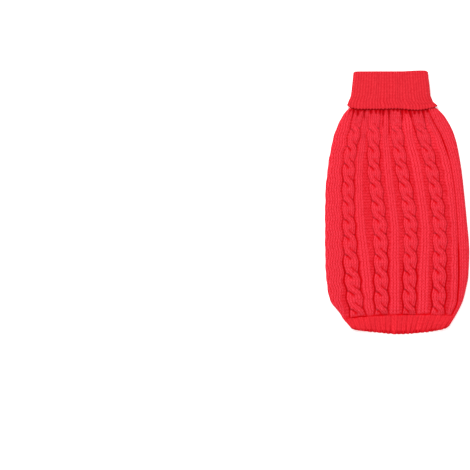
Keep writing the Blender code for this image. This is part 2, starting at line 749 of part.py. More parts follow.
def make_hem():
    """The hem: a flattened ring of ribs from the body's seam to its free edge."""
    stations = [("top", 0.0, 1)]
    for rib in range(HEM_RIBS):
        for phase, ridge in ((HEM_CROWN, 1), (0.5, -1), (1 - HEM_CROWN, 1)):
            stations.append(("top", (rib + phase) / HEM_RIBS, ridge))
    stations.append(("top", 1.0, 1))
    stations += [("right", i / ARC_STEPS, 0) for i in range(1, ARC_STEPS)]
    stations += [("bottom", i / BELLY_STEPS, 0) for i in range(BELLY_STEPS + 1)]
    stations += [("left", i / ARC_STEPS, 0) for i in range(1, ARC_STEPS)]
    profile = [(0.0, 0.5), (0.1, 0.0), (0.5, -0.25), (0.88, -0.1), (1.0, 0.7)]
    profile += [(1.0, WALL - 0.5), (0.9, WALL), (0.45, WALL), (0.0, WALL)]
    seam_left = left_side(hem_seam(0))
    seam_right = right_side(hem_seam(1))

    def point_at(side, share, down, depth):
        if side == "top":
            share += HEM_LEAN * (1 - down) / HEM_RIBS * min(6 * share * (1 - share), 1)
        left = seam_left + (hem_edge_x(0) - seam_left) * down
        right = seam_right + (hem_edge_x(1) - seam_right) * down
        x, z, out_x, out_z = stadium(side, share, left, right, 0.0, BODY_HEIGHT)
        way = (x - left) / (right - left)
        seam = seam_y(way, out_z < 0)
        edge = edge_y(way, out_z < 0)
        if side == "top":
            x += (hem_edge_x(way) - (hem_edge_x(0) + way * (hem_edge_x(1) - hem_edge_x(0)))) * down
        y = seam - SEAM_GAP + (edge - seam + SEAM_GAP) * down
        px = x - depth * out_x
        pz = z - depth * out_z
        return px, y, settle(px, y, pz)

    sections = []
    for side, share, ridge in stations:
        section = []
        for down, depth in profile:
            outside = depth < WALL - 1
            if side == "bottom" and outside:
                depth = max(depth, 0.0)
            elif outside:
                depth -= ridge * HEM_RIB * ease(down / HEM_RIB_START)
            section.append(point_at(side, share, down, depth))
        sections.append(section)
    return ring_of_sections("hem_band", sections)


def make_collar():
    """The collar: a ribbed tube, sewn to the neck inside and folded down over itself."""
    stations = [("top", i / (2 * COLLAR_RIBS)) for i in range(2 * COLLAR_RIBS + 1)]
    stations += [("right", i / COLLAR_ARC_STEPS) for i in range(1, COLLAR_ARC_STEPS)]
    stations += [("bottom", i / BELLY_STEPS) for i in range(BELLY_STEPS + 1)]
    stations += [("left", i / COLLAR_ARC_STEPS) for i in range(1, COLLAR_ARC_STEPS)]
    turn = COLLAR_WALL + COLLAR_GAP / 2

    def point_at(side, share, layer, down, depth, fold):
        """down runs from the fold to the free edge of the outer layer, or to the neck seam."""
        x, _, _, _ = stadium(side, share, COLLAR_FOLD["x"][0], COLLAR_FOLD["x"][-1], 0.0, COLLAR_HEIGHT)
        top = collar_fold(x) - fold
        x, _, _, _ = stadium(side, share, COLLAR_EDGE_ENDS[0], COLLAR_EDGE_ENDS[1], 0.0, COLLAR_HEIGHT)
        low = collar_edge(x) if layer == "outer" else NECK_Y + SEAM_GAP
        y = top + (low - top) * down
        left = collar_sides["outer_left"](y)
        right = collar_sides["outer_right"](y)
        base = 0.0
        if layer == "inner":
            base = COLLAR_INNER
            left = collar_sides["inner_left"](y)
            right = collar_sides["inner_right"](y)
        x, z, out_x, out_z = stadium(side, share, left, right, base, COLLAR_HEIGHT - base)
        depth -= base
        if layer == "outer" and out_z > 0:
            curl = COLLAR_CURL * ease((low + COLLAR_CURL_LENGTH - y) / COLLAR_CURL_LENGTH)
            depth -= curl * out_z
        return x - depth * out_x, y, z - depth * out_z

    profile = [("outer", 1.0, 0.5, 0.0), ("outer", 0.95, 0.0, 0.0), ("outer", 0.75, 0.0, 0.0)]
    profile += [("outer", 0.35, 0.0, 0.0)]
    for angle in (0, 45, 90, 135):
        bend = math.radians(angle)
        profile.append(("outer", 0.0, turn * (1 - math.cos(bend)), turn * (1 - math.sin(bend))))
    profile += [("inner", 0.0, 2 * turn, turn)]
    profile += [("inner", 1.0, 2 * turn, 0.0), ("inner", 1.0, COLLAR_INNER, 0.0)]
    profile += [("inner", 0.5, COLLAR_INNER, turn), ("inner", 0.0, COLLAR_INNER, turn)]
    profile += [("outer", 0.0, COLLAR_WALL, turn), ("outer", 0.5, COLLAR_WALL, turn)]
    profile += [("outer", 0.92, COLLAR_WALL, 0.0), ("outer", 1.0, COLLAR_WALL - 0.5, 0.0)]

    sections = []
    for number, (side, share) in enumerate(stations):
        section = []
        for layer, down, depth, fold in profile:
            if layer == "outer" and depth < COLLAR_WALL - 0.6 and side == "top":
                ridge = -1 if number % 2 else 1
                depth -= ridge * COLLAR_RIB
            section.append(point_at(side, share, layer, down, depth, fold))
        sections.append(section)
    return ring_of_sections("collar", sections)


def make_cuff(name, place):
    """A leg cuff pressed flat in its hole: the ribs run from the seam to the smaller free edge."""
    profile = [(0.0, 0.3), (0.5, 0.9), (1.0, 1.4), (1.0, WALL + 0.9), (0.5, WALL + 0.9), (0.0, WALL)]
    sections = []
    for number in range(2 * CUFF_RIBS):
        angle = math.pi * number / CUFF_RIBS
        section = []
        for down, z in profile:
            if number % 2 and z < WALL and down > 0:
                z -= CUFF_RIB
            across = LEG_HOLE_RADIUS[0] - SEAM_GAP - CUFF_DEPTH * down
            along = LEG_HOLE_RADIUS[1] - SEAM_GAP - CUFF_DEPTH * down
            x = place + across * math.cos(angle)
            y = LEG_HOLE_Y + along * math.sin(angle)
            section.append((x, y, z))
        sections.append(section)
    return ring_of_sections(name, sections)


def clear_scene():
    for piece in list(bpy.data.objects):
        bpy.data.objects.remove(piece, do_unlink=True)
    for name in (GARMENT, "cutters"):
        collection = bpy.data.collections.new(name)
        bpy.context.scene.collection.children.link(collection)


def main():
    clear_scene()
    make_back()
    make_belly()
    make_hem()
    make_collar()
    make_cuff("cuff_left", LEG_HOLE_X[0])
    make_cuff("cuff_right", LEG_HOLE_X[1])


main()
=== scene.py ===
import math

import bpy
import numpy as np
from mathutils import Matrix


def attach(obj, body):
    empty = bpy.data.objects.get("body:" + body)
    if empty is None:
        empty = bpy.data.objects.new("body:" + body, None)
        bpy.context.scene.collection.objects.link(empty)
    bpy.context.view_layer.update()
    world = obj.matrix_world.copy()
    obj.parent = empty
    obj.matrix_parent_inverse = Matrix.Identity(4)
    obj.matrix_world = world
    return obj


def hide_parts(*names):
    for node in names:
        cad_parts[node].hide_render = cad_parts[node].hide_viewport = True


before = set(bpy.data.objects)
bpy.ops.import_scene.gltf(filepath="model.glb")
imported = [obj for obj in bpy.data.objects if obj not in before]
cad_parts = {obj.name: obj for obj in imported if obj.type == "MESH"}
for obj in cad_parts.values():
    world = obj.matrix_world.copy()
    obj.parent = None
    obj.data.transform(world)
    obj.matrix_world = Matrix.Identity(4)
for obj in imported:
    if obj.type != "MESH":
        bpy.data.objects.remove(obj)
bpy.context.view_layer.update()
print("frame loaded, nodes:", ", ".join(sorted(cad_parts)))

mm = 0.001  # the sizes below are in millimetres, in the frame of the solids


def readTable(names, *rows):
    return {name: np.array([row[i] for row in rows]) for i, name in enumerate(names.split())}


def curveThrough(rows, key, column):  # smooth through two columns of a table, no overshoot
    order = np.argsort(rows[key])
    at, value = rows[key][order], rows[column][order]
    step = np.diff(at)
    rise = np.diff(value) / step
    slope = np.concatenate([rise[:1], np.zeros(len(at) - 2), rise[-1:]])
    both = rise[:-1] * rise[1:]
    total = np.where(both > 0, rise[:-1] + rise[1:], 1)
    slope[1:-1] = np.where(both > 0, 2 * both / total, 0)

    def read(where):
        where = np.clip(where, at[0], at[-1])
        i = np.clip(np.searchsorted(at, where, side="right") - 1, 0, len(step) - 1)
        t = (where - at[i]) / step[i]
        start = value[i] * (1 + 2 * t) * (1 - t) ** 2 + slope[i] * step[i] * t * (1 - t) ** 2
        return start + value[i + 1] * t * t * (3 - 2 * t) + slope[i + 1] * step[i] * t * t * (t - 1)

    return read


# From 0 to share with soft ends, from start on over length, which is below 0 where it goes the other way
def ease(value, start=0, length=1, share=1):
    t = np.clip((value - start) / length, 0.0, 1.0)
    return share * (t * t * (3 - 2 * t))


def spaced(start, end, count):  # columns from start on, up to but without the end
    return start + (end - start) * np.linspace(0, 1, count, endpoint=False)[None, :]


body = {  # the flattened tube that the pieces lie on, with the same sizes as the solids
    "wall": 2.4,
    "hollow": 1.7,  # between back and belly
    "height": 6.5,
    "neckY": 118.93,
    "hemY": -137.86,
    "seamInset": 0.3,  # the panels end this far short of the neck seam and over the hem seam
    "seamArch": 36.0,  # the belly's hem is drawn up by this much at its seam
    "edgeArch": 28.0,  # and by this much at its free edge
    "archPower": 2.2,
    "leftSeamShare": 0.955,  # the left seam lies underneath, this share of the way from the right fold
    "neckLift": (2.7, 1.8),  # of belly and back, as the neck lies over the rolled collar
    "neckRise": (94.0, 18.0),  # from this row on, over this length
    "backDrop": (1.5, 28.0),  # the back comes down this far past the belly's edge, over this length
    "seamDip": 0.6,
    "seamHalf": 1.8,  # half width of the dip
    "seamShade": 0.75,
    "stripRise": 0.7,
    "wale": 3.1,  # width of a stitch
    "course": 3.58,  # height of a stitch, six rows to a crossing
    "waleGroove": 0.3,
    "grooveHalf": 0.16,  # of a stitch
}

cable = {
    "rise": 2.6,
    "over": 0.9,  # the front strand stands this much higher where it crosses
    "under": 1.0,  # and the rear one this much lower
    "swapShare": 0.66,  # part of the way between crossings that a strand takes to change sides
    "strandHalf": 0.53,
    "strandStitches": 3,
    "dome": 3.4,  # how square a strand is across
    "spread": 1.3,  # how much wider a strand is where it lies askew
    "pinch": 0.11,
    "pinchTurn": -0.06,
    "half": 6.7,  # usual half width, which turns a crease's width into a share
    "crease": (0.95, 0.2),  # half width and depth of the crease along the front strand, which is also painted with shade
    "creaseReach": (0.38, -0.14),  # it ends at this part of a turn, and fades over that
    "lowerCrease": ((-0.85, 0.4), (-0.25, 0.35, 0.8)),  # it is deepest between these places across
    "upperCrease": 0.45,  # its strength along the front strand's other side
    "purlUnder": 0.7,  # what is lower than this is purl ground
    "groundDip": 0.4,  # the ground runs in under the cable
    "eye": 3.4,  # the dark eye under a crossing lies this far below it
}

legHole = {
    "x": (-38.3, 31.2),
    "y": 67.4,
    "across": 22.0,
    "along": 24.0,
    "room": 0.2,  # the hole is larger than the cuff's seam by this
    "sides": 72,
}

sides = readTable(  # the two folds
    "y left right",
    (119.0, -54.5, 43.0),
    (116.0, -58.0, 46.8),
    (112.4, -61.6, 51.4),
    (105.0, -67.4, 58.2),
    (85.5, -76.0, 68.9),
    (70.8, -80.0, 73.2),
    (41.5, -84.9, 78.5),
    (12.2, -87.7, 81.9),
    (-17.1, -88.2, 84.8),
    (-61.1, -88.0, 88.2),
    (-90.4, -86.9, 87.0),
    (-105.0, -85.2, 84.3),
    (-119.7, -81.8, 80.6),
    (-131.9, -73.2, 75.1),
    (-136.0, -69.5, 72.9),
    (-142.0, -66.2, 69.6),
)
knit = readTable(  # the middle of each cable, the side seam that shows, and half of each cable's width
    "y cable1 cable2 cable3 cable4 seam half1 half2 half3 half4",
    (119.0, -44.6, -27.2, -3.4, 21.4, 35.0, 5.8, 6.6, 6.4, 6.2),
    (100.0, -49.2, -28.0, -1.8, 26.5, 43.2, 6.2, 7.0, 6.8, 6.6),
    (80.0, -52.9, -28.7, 0.4, 32.2, 54.0, 7.0, 7.6, 7.4, 7.4),
    (45.0, -59.2, -28.6, 4.8, 41.0, 65.4, 7.4, 7.8, 7.8, 7.8),
    (0.0, -59.8, -24.0, 13.0, 48.6, 71.6, 7.5, 8.4, 8.3, 8.2),
    (-40.0, -58.2, -20.7, 16.6, 52.2, 74.2, 8.1, 8.8, 8.6, 8.6),
    (-85.0, -55.4, -19.6, 15.4, 51.4, 75.3, 9.4, 8.8, 8.4, 8.6),
    (-120.0, -51.2, -19.2, 14.8, 50.6, 73.6, 9.7, 8.8, 8.4, 8.6),
    (-140.0, -47.4, -19.0, 14.6, 49.4, 65.6, 9.0, 8.4, 8.0, 8.2),
)
strips = readTable(  # the plain rib in each gap: off the middle of the gap, and half its width
    "y off1 off2 off3 half1 half2 half3",
    (119.0, 0.0, 0.0, -0.6, 2.6, 2.6, 3.2),
    (82.0, -0.6, -0.6, -1.8, 3.6, 3.6, 4.8),
    (46.0, -1.8, 0.4, 0.4, 4.2, 4.8, 5.8),
    (9.0, -3.8, -0.8, -0.2, 4.9, 4.8, 5.2),
    (-28.0, -3.9, -0.6, 0.0, 5.1, 5.0, 5.4),
    (-64.0, -1.9, -1.2, -0.3, 5.8, 5.5, 5.7),
    (-101.0, -0.5, -0.9, -0.9, 6.0, 6.0, 6.3),
    (-140.0, -0.5, -0.9, -0.9, 5.8, 5.8, 6.1),
)
eyes = readTable(  # the dark eye under each crossing
    "turn cable1 cable2 cable3 cable4",
    (0, 86.6, 86.6, 86.0, 86.0),
    (1, 65.8, 65.2, 64.6, 65.2),
    (2, 45.1, 42.0, 43.2, 43.2),
    (3, 23.1, 21.3, 21.9, 21.3),
    (4, -0.1, -1.3, -0.1, 0.5),
    (5, -22.1, -22.1, -21.5, -20.3),
    (6, -42.9, -42.9, -42.2, -41.0),
    (7, -65.4, -66.7, -64.8, -63.6),
    (8, -88.6, -89.3, -86.8, -85.0),
    (9, -110.0, -111.9, -110.0, -108.2),
    (10, -131.4, -133.8, -132.6, -131.4),
    (11, -153.5, -156.0, -155.0, -154.0),
)
gathers = readTable(  # pleats that run down from the neck seam, lean is to the right for each millimetre down
    "x lean depth halfWidth length",
    (-55.9, -0.22, 2.2, 1.1, 26.0),
    (-51.6, -0.21, 2.4, 1.2, 80.0),
    (-47.6, -0.06, 3.4, 1.2, 26.0),
    (-43.6, -0.10, 1.6, 0.9, 12.0),
    (-39.8, -0.04, 3.0, 1.1, 20.0),
    (-32.2, 0.00, 3.4, 1.2, 20.0),
    (-26.0, 0.00, 2.4, 0.9, 14.0),
    (-21.2, 0.02, 2.0, 0.8, 14.0),
    (-16.6, -0.05, 3.2, 1.1, 44.0),
    (-10.4, 0.02, 3.4, 1.2, 48.0),
    (-4.6, 0.00, 2.2, 0.8, 13.0),
    (0.2, 0.02, 2.4, 0.8, 14.0),
    (5.4, 0.06, 3.4, 1.1, 52.0),
    (9.4, 0.12, 1.8, 0.8, 12.0),
    (12.6, 0.30, 3.8, 1.2, 62.0),
    (20.1, 0.10, 2.4, 0.9, 14.0),
    (24.9, 0.14, 3.0, 1.0, 24.0),
    (29.9, 0.22, 3.4, 1.1, 46.0),
    (34.6, 0.30, 2.4, 0.9, 17.0),
    (38.6, 0.36, 2.6, 1.0, 18.0),
)
hemSeamRows = readTable(
    "share y",
    (0.00, -141.9),
    (0.20, -138.6),
    (0.47, -136.8),
    (0.75, -136.6),
    (1.00, -138.0),
)
hemEdgeRows = readTable(
    "share x y",
    (0.00, -55.2, -154.7),
    (0.06, -48.2, -156.4),
    (0.24, -26.0, -158.8),
    (0.47, 1.0, -161.0),
    (0.74, 32.7, -158.9),
    (0.94, 56.0, -155.0),
    (1.00, 63.5, -151.6),
)
collarSides = readTable(
    "y outerLeft outerRight innerLeft innerRight",
    (112.0, -60.9, 49.6, -57.0, 46.0),
    (118.9, -60.9, 48.6, -54.5, 43.0),
    (123.3, -59.6, 43.6, -54.2, 39.6),
    (130.7, -56.7, 40.7, -53.8, 37.8),
    (141.7, -55.3, 39.7, -52.6, 37.0),
    (156.3, -53.8, 37.9, -51.1, 35.2),
    (161.5, -53.3, 37.7, -50.6, 35.0),
)
collarEdgeRows = readTable(
    "x y",
    (-60.0, 118.6),
    (-54.0, 115.4),
    (-45.0, 113.7),
    (-30.0, 113.7),
    (-1.5, 114.2),
    (23.0, 112.6),
    (36.8, 114.4),
    (48.8, 117.4),
)
collarFoldRows = readTable(
    "x y",
    (-53.8, 158.6),
    (-51.2, 159.7),
    (-45.0, 159.9),
    (5.0, 160.0),
    (28.8, 161.0),
    (34.0, 160.9),
    (37.9, 159.2),
)

leftSide = curveThrough(sides, "y", "left")
rightSide = curveThrough(sides, "y", "right")
sideSeam = curveThrough(knit, "y", "seam")
cableTurn = [curveThrough(eyes, f"cable{i}", "turn") for i in range(1, 5)]
cableHalf = [curveThrough(knit, "y", f"half{i}") for i in range(1, 5)]
stripOff = [curveThrough(strips, "y", f"off{i}") for i in range(1, 4)]
stripHalf = [curveThrough(strips, "y", f"half{i}") for i in range(1, 4)]
cableMiddle = [curveThrough(knit, "y", f"cable{i}") for i in range(1, 5)]
hemSeam = curveThrough(hemSeamRows, "share", "y")
hemEdgeX = curveThrough(hemEdgeRows, "share", "x")
hemEdgeY = curveThrough(hemEdgeRows, "share", "y")
collarEdge = curveThrough(collarEdgeRows, "x", "y")
collarFold = curveThrough(collarFoldRows, "x", "y")
collarSide = {name: curveThrough(collarSides, "y", name) for name in collarSides if name != "y"}


def stadium(side, share, left, right, low, high):  # place on a flattened ring, and the way out of the cloth
    radius = (high - low) / 2
    middle = (high + low) / 2
    flat = right - left - 2 * radius
    flatness = 0 * share * flat
    if side == "top":
        return left + radius + share * flat, high + flatness, flatness, 1 + flatness
    if side == "bottom":
        return right - radius - share * flat, low + flatness, flatness, flatness - 1
    if side == "right":
        angle, centre = math.pi / 2 - math.pi * share, right - radius
    else:
        angle, centre = -math.pi / 2 - math.pi * share, left + radius
    outX, outZ = np.cos(angle), np.sin(angle)
    return centre + radius * outX, middle + radius * outZ + flatness, outX + flatness, outZ + flatness


def arched(share, rise):
    return rise * (1 - np.abs(2 * share - 1) ** body["archPower"])


def seamY(share, belly):  # the hem seam, arched on the belly
    below = hemSeam(0) + (hemSeam(1) - hemSeam(0)) * share + arched(share, body["seamArch"])
    return np.where(belly, below, hemSeam(share))


def edgeY(share, belly):  # the hem's free edge, arched on the belly
    below = hemEdgeY(0) + (hemEdgeY(1) - hemEdgeY(0)) * share + arched(share, body["edgeArch"])
    return np.where(belly, below, hemEdgeY(share))


def rowToSeam(rowY, seam):  # a row moved so that the last one lies on the hem seam
    return body["neckY"] - (body["neckY"] - rowY) * (body["neckY"] - seam) / (body["neckY"] - body["hemY"])


def leftFold(rowY):
    return leftSide(rowToSeam(rowY, hemSeam(0)))


def rightFold(rowY):
    return rightSide(rowToSeam(rowY, hemSeam(1)))


def bodyY(rowY, belly, x):
    left = leftFold(rowY)
    share = np.clip((x - left) / (rightFold(rowY) - left), 0, 1)
    return rowToSeam(rowY, seamY(share, belly))


def settle(x, y, z):  # lifts the neck over the collar, drops the back where no belly lies under it
    upper = ease(z, body["wall"], body["hollow"])
    liftBelly, liftBack = body["neckLift"]
    dropY, dropLength = body["backDrop"]
    lift = ease(y, *body["neckRise"]) * (liftBelly + (liftBack - liftBelly) * upper)
    share = np.clip((x - hemEdgeX(0)) / (hemEdgeX(1) - hemEdgeX(0)), 0, 1)
    clear = ease((edgeY(share, True) - dropY - y) / dropLength)
    return z + lift - clear * upper * (body["wall"] + body["hollow"])


def bodyPoint(side, share, rowY, depth, x=None):  # a place in the wall of the body, depth below its face
    placeX, z, outX, outZ = stadium(side, share, leftFold(rowY), rightFold(rowY), 0.0, body["height"])
    placeX = placeX + 0 * rowY if x is None else x
    y = bodyY(rowY, outZ + 0 * placeX < 0, placeX)
    px = placeX - depth * outX
    pz = z - depth * outZ
    return np.stack([px, y + 0 * px, settle(px, y, pz)], axis=-1)


def waleGroove(wale):  # depth of the line between two columns of stitches
    off = np.abs(wale - np.round(wale)) / body["grooveHalf"]
    return body["waleGroove"] * np.exp(-off * off)


rib = {"crownHalf": 0.39, "roundness": 1.6, "purlEdge": 0.05, "valleyHalf": 0.2}  # shares of a rib's width


# The height of a rib from -1 to 1, its columns of stitches with so many of them on the crown, and its purl
def ribShape(phase, crownStitches, valleyHalf=rib["valleyHalf"]):
    number = np.round(phase)
    off = phase - number
    away = np.abs(off)
    valley = np.exp(-(((0.5 - away) / valleyHalf) ** 2))
    height = (1 - valley) * (1 - rib["roundness"] * off * off) - valley
    crown = rib["crownHalf"]
    onCrown = away / crown * crownStitches / 2
    inValley = crownStitches / 2 + (away - crown) / (0.5 - crown) * crownStitches / 2
    wale = 2 * crownStitches * number + np.sign(off) * np.where(away < crown, onCrown, inValley)
    return height, wale, ease(away, crown, rib["purlEdge"])


def ripple(x, y, size):  # soft unevenness that no two places share
    a = np.sin(x / 17.0 + 1.3 * np.sin(y / 31.0) + 0.7)
    b = np.sin(y / 23.0 + 1.1 * np.sin(x / 19.0) + 2.1)
    c = np.sin(x / 7.3 - y / 11.0 + 1.9 * np.sin(y / 41.0))
    return size * (0.5 * a * b + 0.3 * b + 0.2 * c)


sheetMesh = {"mergeWithin": 2e-7, "smoothBelow": 70}  # metres and degrees


# A grid primitive is shaped to places, which are rows x columns x 3, and its seams are merged
def sheetFromGrid(name, places, marks, closedRows, closedColumns, stitchesRound=0):
    bpy.ops.object.select_all(action="DESELECT")
    if closedColumns:
        places = np.concatenate([places, places[:1]])
        marks = {key: np.concatenate([mark, mark[:1]]) for key, mark in marks.items()}
        marks["wale"][-1] += stitchesRound
    if closedRows:
        places = np.concatenate([places, places[:, :1]], axis=1)
        marks = {key: np.concatenate([mark, mark[:, :1]], axis=1) for key, mark in marks.items()}
    rows, columns = places.shape[:2]
    bpy.ops.mesh.primitive_grid_add(x_subdivisions=columns - 1, y_subdivisions=rows - 1, size=1)
    piece = bpy.context.object
    piece.name = name
    mesh = piece.data
    mesh.vertices.foreach_set("co", (places * mm).astype(np.float32).ravel())
    corner = np.empty(len(mesh.loops), dtype=np.int32)
    mesh.loops.foreach_get("vertex_index", corner)
    stitches = np.stack([marks["wale"].ravel(), marks["course"].ravel()], axis=-1)[corner]
    mesh.uv_layers[0].name = "stitches"
    mesh.uv_layers[0].data.foreach_set("uv", stitches.astype(np.float32).ravel())
    for key in ("purl", "hollow", "crease"):
        layer = mesh.attributes.new(key, "FLOAT", "POINT")
        layer.data.foreach_set("value", marks[key].astype(np.float32).ravel())
    mesh.update()
    bpy.ops.object.mode_set(mode="EDIT")
    bpy.ops.mesh.select_all(action="SELECT")
    bpy.ops.mesh.remove_doubles(threshold=sheetMesh["mergeWithin"])
    if not (closedRows and closedColumns):
        bpy.ops.mesh.fill_holes(sides=0)
        bpy.ops.mesh.select_all(action="DESELECT")
        bpy.ops.mesh.select_face_by_sides(number=4, type="GREATER")
        bpy.ops.mesh.quads_convert_to_tris()
    bpy.ops.mesh.select_all(action="SELECT")
    bpy.ops.mesh.normals_make_consistent(inside=False)
    bpy.ops.object.mode_set(mode="OBJECT")
    bpy.ops.object.shade_smooth_by_angle(angle=math.radians(sheetMesh["smoothBelow"]))
    return piece


def joined(blocks, axis=1):  # blocks of (places, marks) side by side
    places = np.concatenate([block[0] for block in blocks], axis=axis)
    marks = {key: np.concatenate([block[1][key] for block in blocks], axis=axis) for key in blocks[0][1]}
    return places, marks


def marked(places, wale, course, purl=0.0, hollow=0.0, crease=0.0):
    shape = places.shape[:2]
    full = {"wale": wale, "course": course, "purl": purl, "hollow": hollow, "crease": crease}
    return places, {key: np.broadcast_to(value, shape) for key, value in full.items()}


def tubeOfRibs(name, sizes, stitches, block):  # with so many columns of stitches to a rib
    blocks, start = [], 0
    for side, part in (("top", "top"), ("right", "arc"), ("bottom", "below"), ("left", "arc")):
        ribs = sizes[part + "Ribs"]
        blocks.append(block(side, sizes[part + "Columns"], start, ribs))
        start += ribs
    places, marks = joined(blocks, axis=0)
    return sheetFromGrid(name, places, marks, True, True, stitches * start)


# The height of a two-strand cable, its stitches, its creases, which are cut in and painted with shade, and
# the purl beside it. across goes from -1 to
# 1 over its width, and rawTurn counts the crossings
def cableRelief(across, rawTurn):
    number = np.maximum(np.floor(rawTurn + 0.5), 0)
    turn = np.clip(rawTurn - number, -0.5, 0.5)
    swap = ease(turn / cable["swapShare"] + 0.5)
    steep = 4 * swap * (1 - swap)
    half = cable["strandHalf"] * np.sqrt(1 + (cable["spread"] * steep) ** 2)
    over = np.cos(math.pi * turn) ** 1.4
    frontOff = (across - (swap - 0.5)) / half
    rearOff = (across + (swap - 0.5)) / half
    front = strandDome(frontOff) * (cable["rise"] + cable["over"] * over)
    rear = strandDome(rearOff) * (cable["rise"] - cable["under"] * over)
    bridge = np.sqrt(np.clip(1 - np.abs(across) ** 8, 0, 1)) * cable["rise"] * (1 - over)
    strands = np.maximum(front, rear)
    frontOnTop = np.where(strands > 0.01, front >= rear, np.abs(frontOff) <= np.abs(rearOff))
    stitches = cable["strandStitches"]
    onRear = stitches / 2 * rearOff - stitches * np.sign(turn)
    wale = np.where(frontOnTop, stitches / 2 * frontOff, onRear) - stitches * number + 0.5
    ground = 1 - ease(strands / cable["purlUnder"])
    creaseHalf, creaseDepth = cable["crease"]
    apart = (np.abs(frontOff) - 1) * half * cable["half"] / creaseHalf
    # the crease mask is cut into the height and also painted with shade
    crease = np.exp(-apart * apart) * ease(np.abs(turn), *cable["creaseReach"]) * (1 - ground)
    start, end = cable["lowerCrease"]
    lower = ease(across, *start) * (1 - ease(across, *end))
    crease = crease * np.where(frontOff < 0, lower, cable["upperCrease"])
    blend = 6  # how tightly the bridge between two crossings joins the strands
    high = (strands**blend + bridge**blend) ** (1 / blend) * (1 - np.abs(across) ** 14)
    return high - crease * creaseDepth, wale, crease, ground


def strandDome(off):  # across a strand: flat on top, round at the sides
    return np.sqrt(np.clip(1 - np.abs(off) ** cable["dome"], 0, 1))


seamLine = {"neck": (48, 22), "hem": (-40, -25), "middle": 0.3}  # drawn in most from these rows to its ends


def seamDip(rowY, away):  # how far the cloth is drawn in at this distance from the side seam
    ends = np.maximum(ease(rowY, *seamLine["neck"]), ease(rowY, *seamLine["hem"]))
    return (1 - ease(away / body["seamHalf"])) * (seamLine["middle"] + (1 - seamLine["middle"]) * ends)


def cableTurns(rowY, number):  # crossings above this row of a cable, the first is number 0
    at = rowY - cable["eye"]
    first, last = eyes[f"cable{number + 1}"][:2]
    return cableTurn[number](at) + np.minimum((first - at) / (first - last), 0)


# Where the two strands of a cable meet, so that a column of the grid can run along it
def creasePlace(rawTurn):
    across = np.linspace(-0.95, 0.95, 191)[None, :]
    wale = cableRelief(across, rawTurn)[1]
    jump = np.abs(np.diff(wale, axis=1)) > 0.3
    first = np.argmax(jump * (np.abs(across[:, 1:]) < 0.85), axis=1)
    meet = np.clip(across[0, first], -0.45, 0.45)
    rowsAround = 2
    window = 2 * rowsAround + 1
    smooth = np.convolve(np.pad(meet, rowsAround, mode="edge"), np.ones(window) / window, mode="valid")
    return smooth[:, None]


foot = {  # the painted shade along the line where a cable meets the ground
    "tone": 0.2,
    "drift": 0.5,
    "deeper": (-55, -35, 0.6),  # towards the hem: from this row on, over this length, by this much
    "leftCable": ((45, -20, 0.4), (-75, 20)),  # the left cable is drawn in deep between these rows, and its painted shade is deeper there
    "reach": 1.6,
}


def footTone(rowY, number, hand):  # painted shade along a cable's foot, deeper in some places than in others
    drift = np.sin(rowY / 13.0 + 2.1 * number + 1.4 * hand) * np.sin(rowY / 31.0 + 1.2 * number - hand)
    tone = foot["tone"] + foot["drift"] * drift + ease(rowY, *foot["deeper"])
    if number == 0:
        start, end = foot["leftCable"]
        tone = tone + ease(rowY, *start) * ease(rowY, *end)
    return np.clip(tone, 0, 1)


pleat = {
    "relief": 0.45,  # part of a gather's depth that is shaped, and no deeper than this
    "deepest": 1.4,
    "lineHalf": 0.9,
    "line": 1.1,  # the painted shade along a gather
    "usualDepth": 3.4,
    "reach": (2.7, 2.2),  # of the wedge of painted shade under the collar: for each millimetre of depth, and unevenness
    "half": (0.7, 2.5),  # of that wedge at its tip, and what it is wider by at the collar
    "rollShade": (0.3, 0.9),  # the shade right under the collar: from here, over this
}


def gatherDepth(x, y):
    down = body["neckY"] - y
    total = 0
    for i in range(len(gathers["x"])):
        off = (x - gathers["x"][i] - gathers["lean"][i] * down) / gathers["halfWidth"][i]
        fade = ease((gathers["length"][i] - down) / gathers["length"][i])
        total = total + pleat["relief"] * gathers["depth"][i] * np.exp(-off * off) * fade
    return np.minimum(total, pleat["deepest"])


# Painted shade: how deep in each gather the yarn is out of the light, and in the small pleats right under the
# collar
def gatherTone(x, y):
    below = collarEdge(x) - y
    down = body["neckY"] - y
    reach, uneven = pleat["reach"]
    tipHalf, widening = pleat["half"]
    tone = 0
    for i in range(len(gathers["x"])):
        off = x - gathers["x"][i] - gathers["lean"][i] * down
        length = gathers["length"][i] * (0.8 + 0.3 * np.sin(5.1 * i))
        line = np.exp(-((off / pleat["lineHalf"]) ** 2)) * ease((length - down) / (0.5 * length))
        line = line * (0.7 + 0.3 * np.sin(y / 2.9 + 2.4 * i))
        line = pleat["line"] * line * gathers["depth"][i] / pleat["usualDepth"]
        spot = reach * gathers["depth"][i] + uneven * np.sin(7.3 * i + 0.4)
        wedge = np.clip(1 - below / spot, 0, 1)
        dark = np.exp(-((off / (tipHalf + widening * wedge)) ** 2)) * ease(wedge / 0.35)
        tone = np.maximum(tone, np.maximum(line, dark))
    return np.maximum(tone, 1 - ease(below, *pleat["rollShade"]))


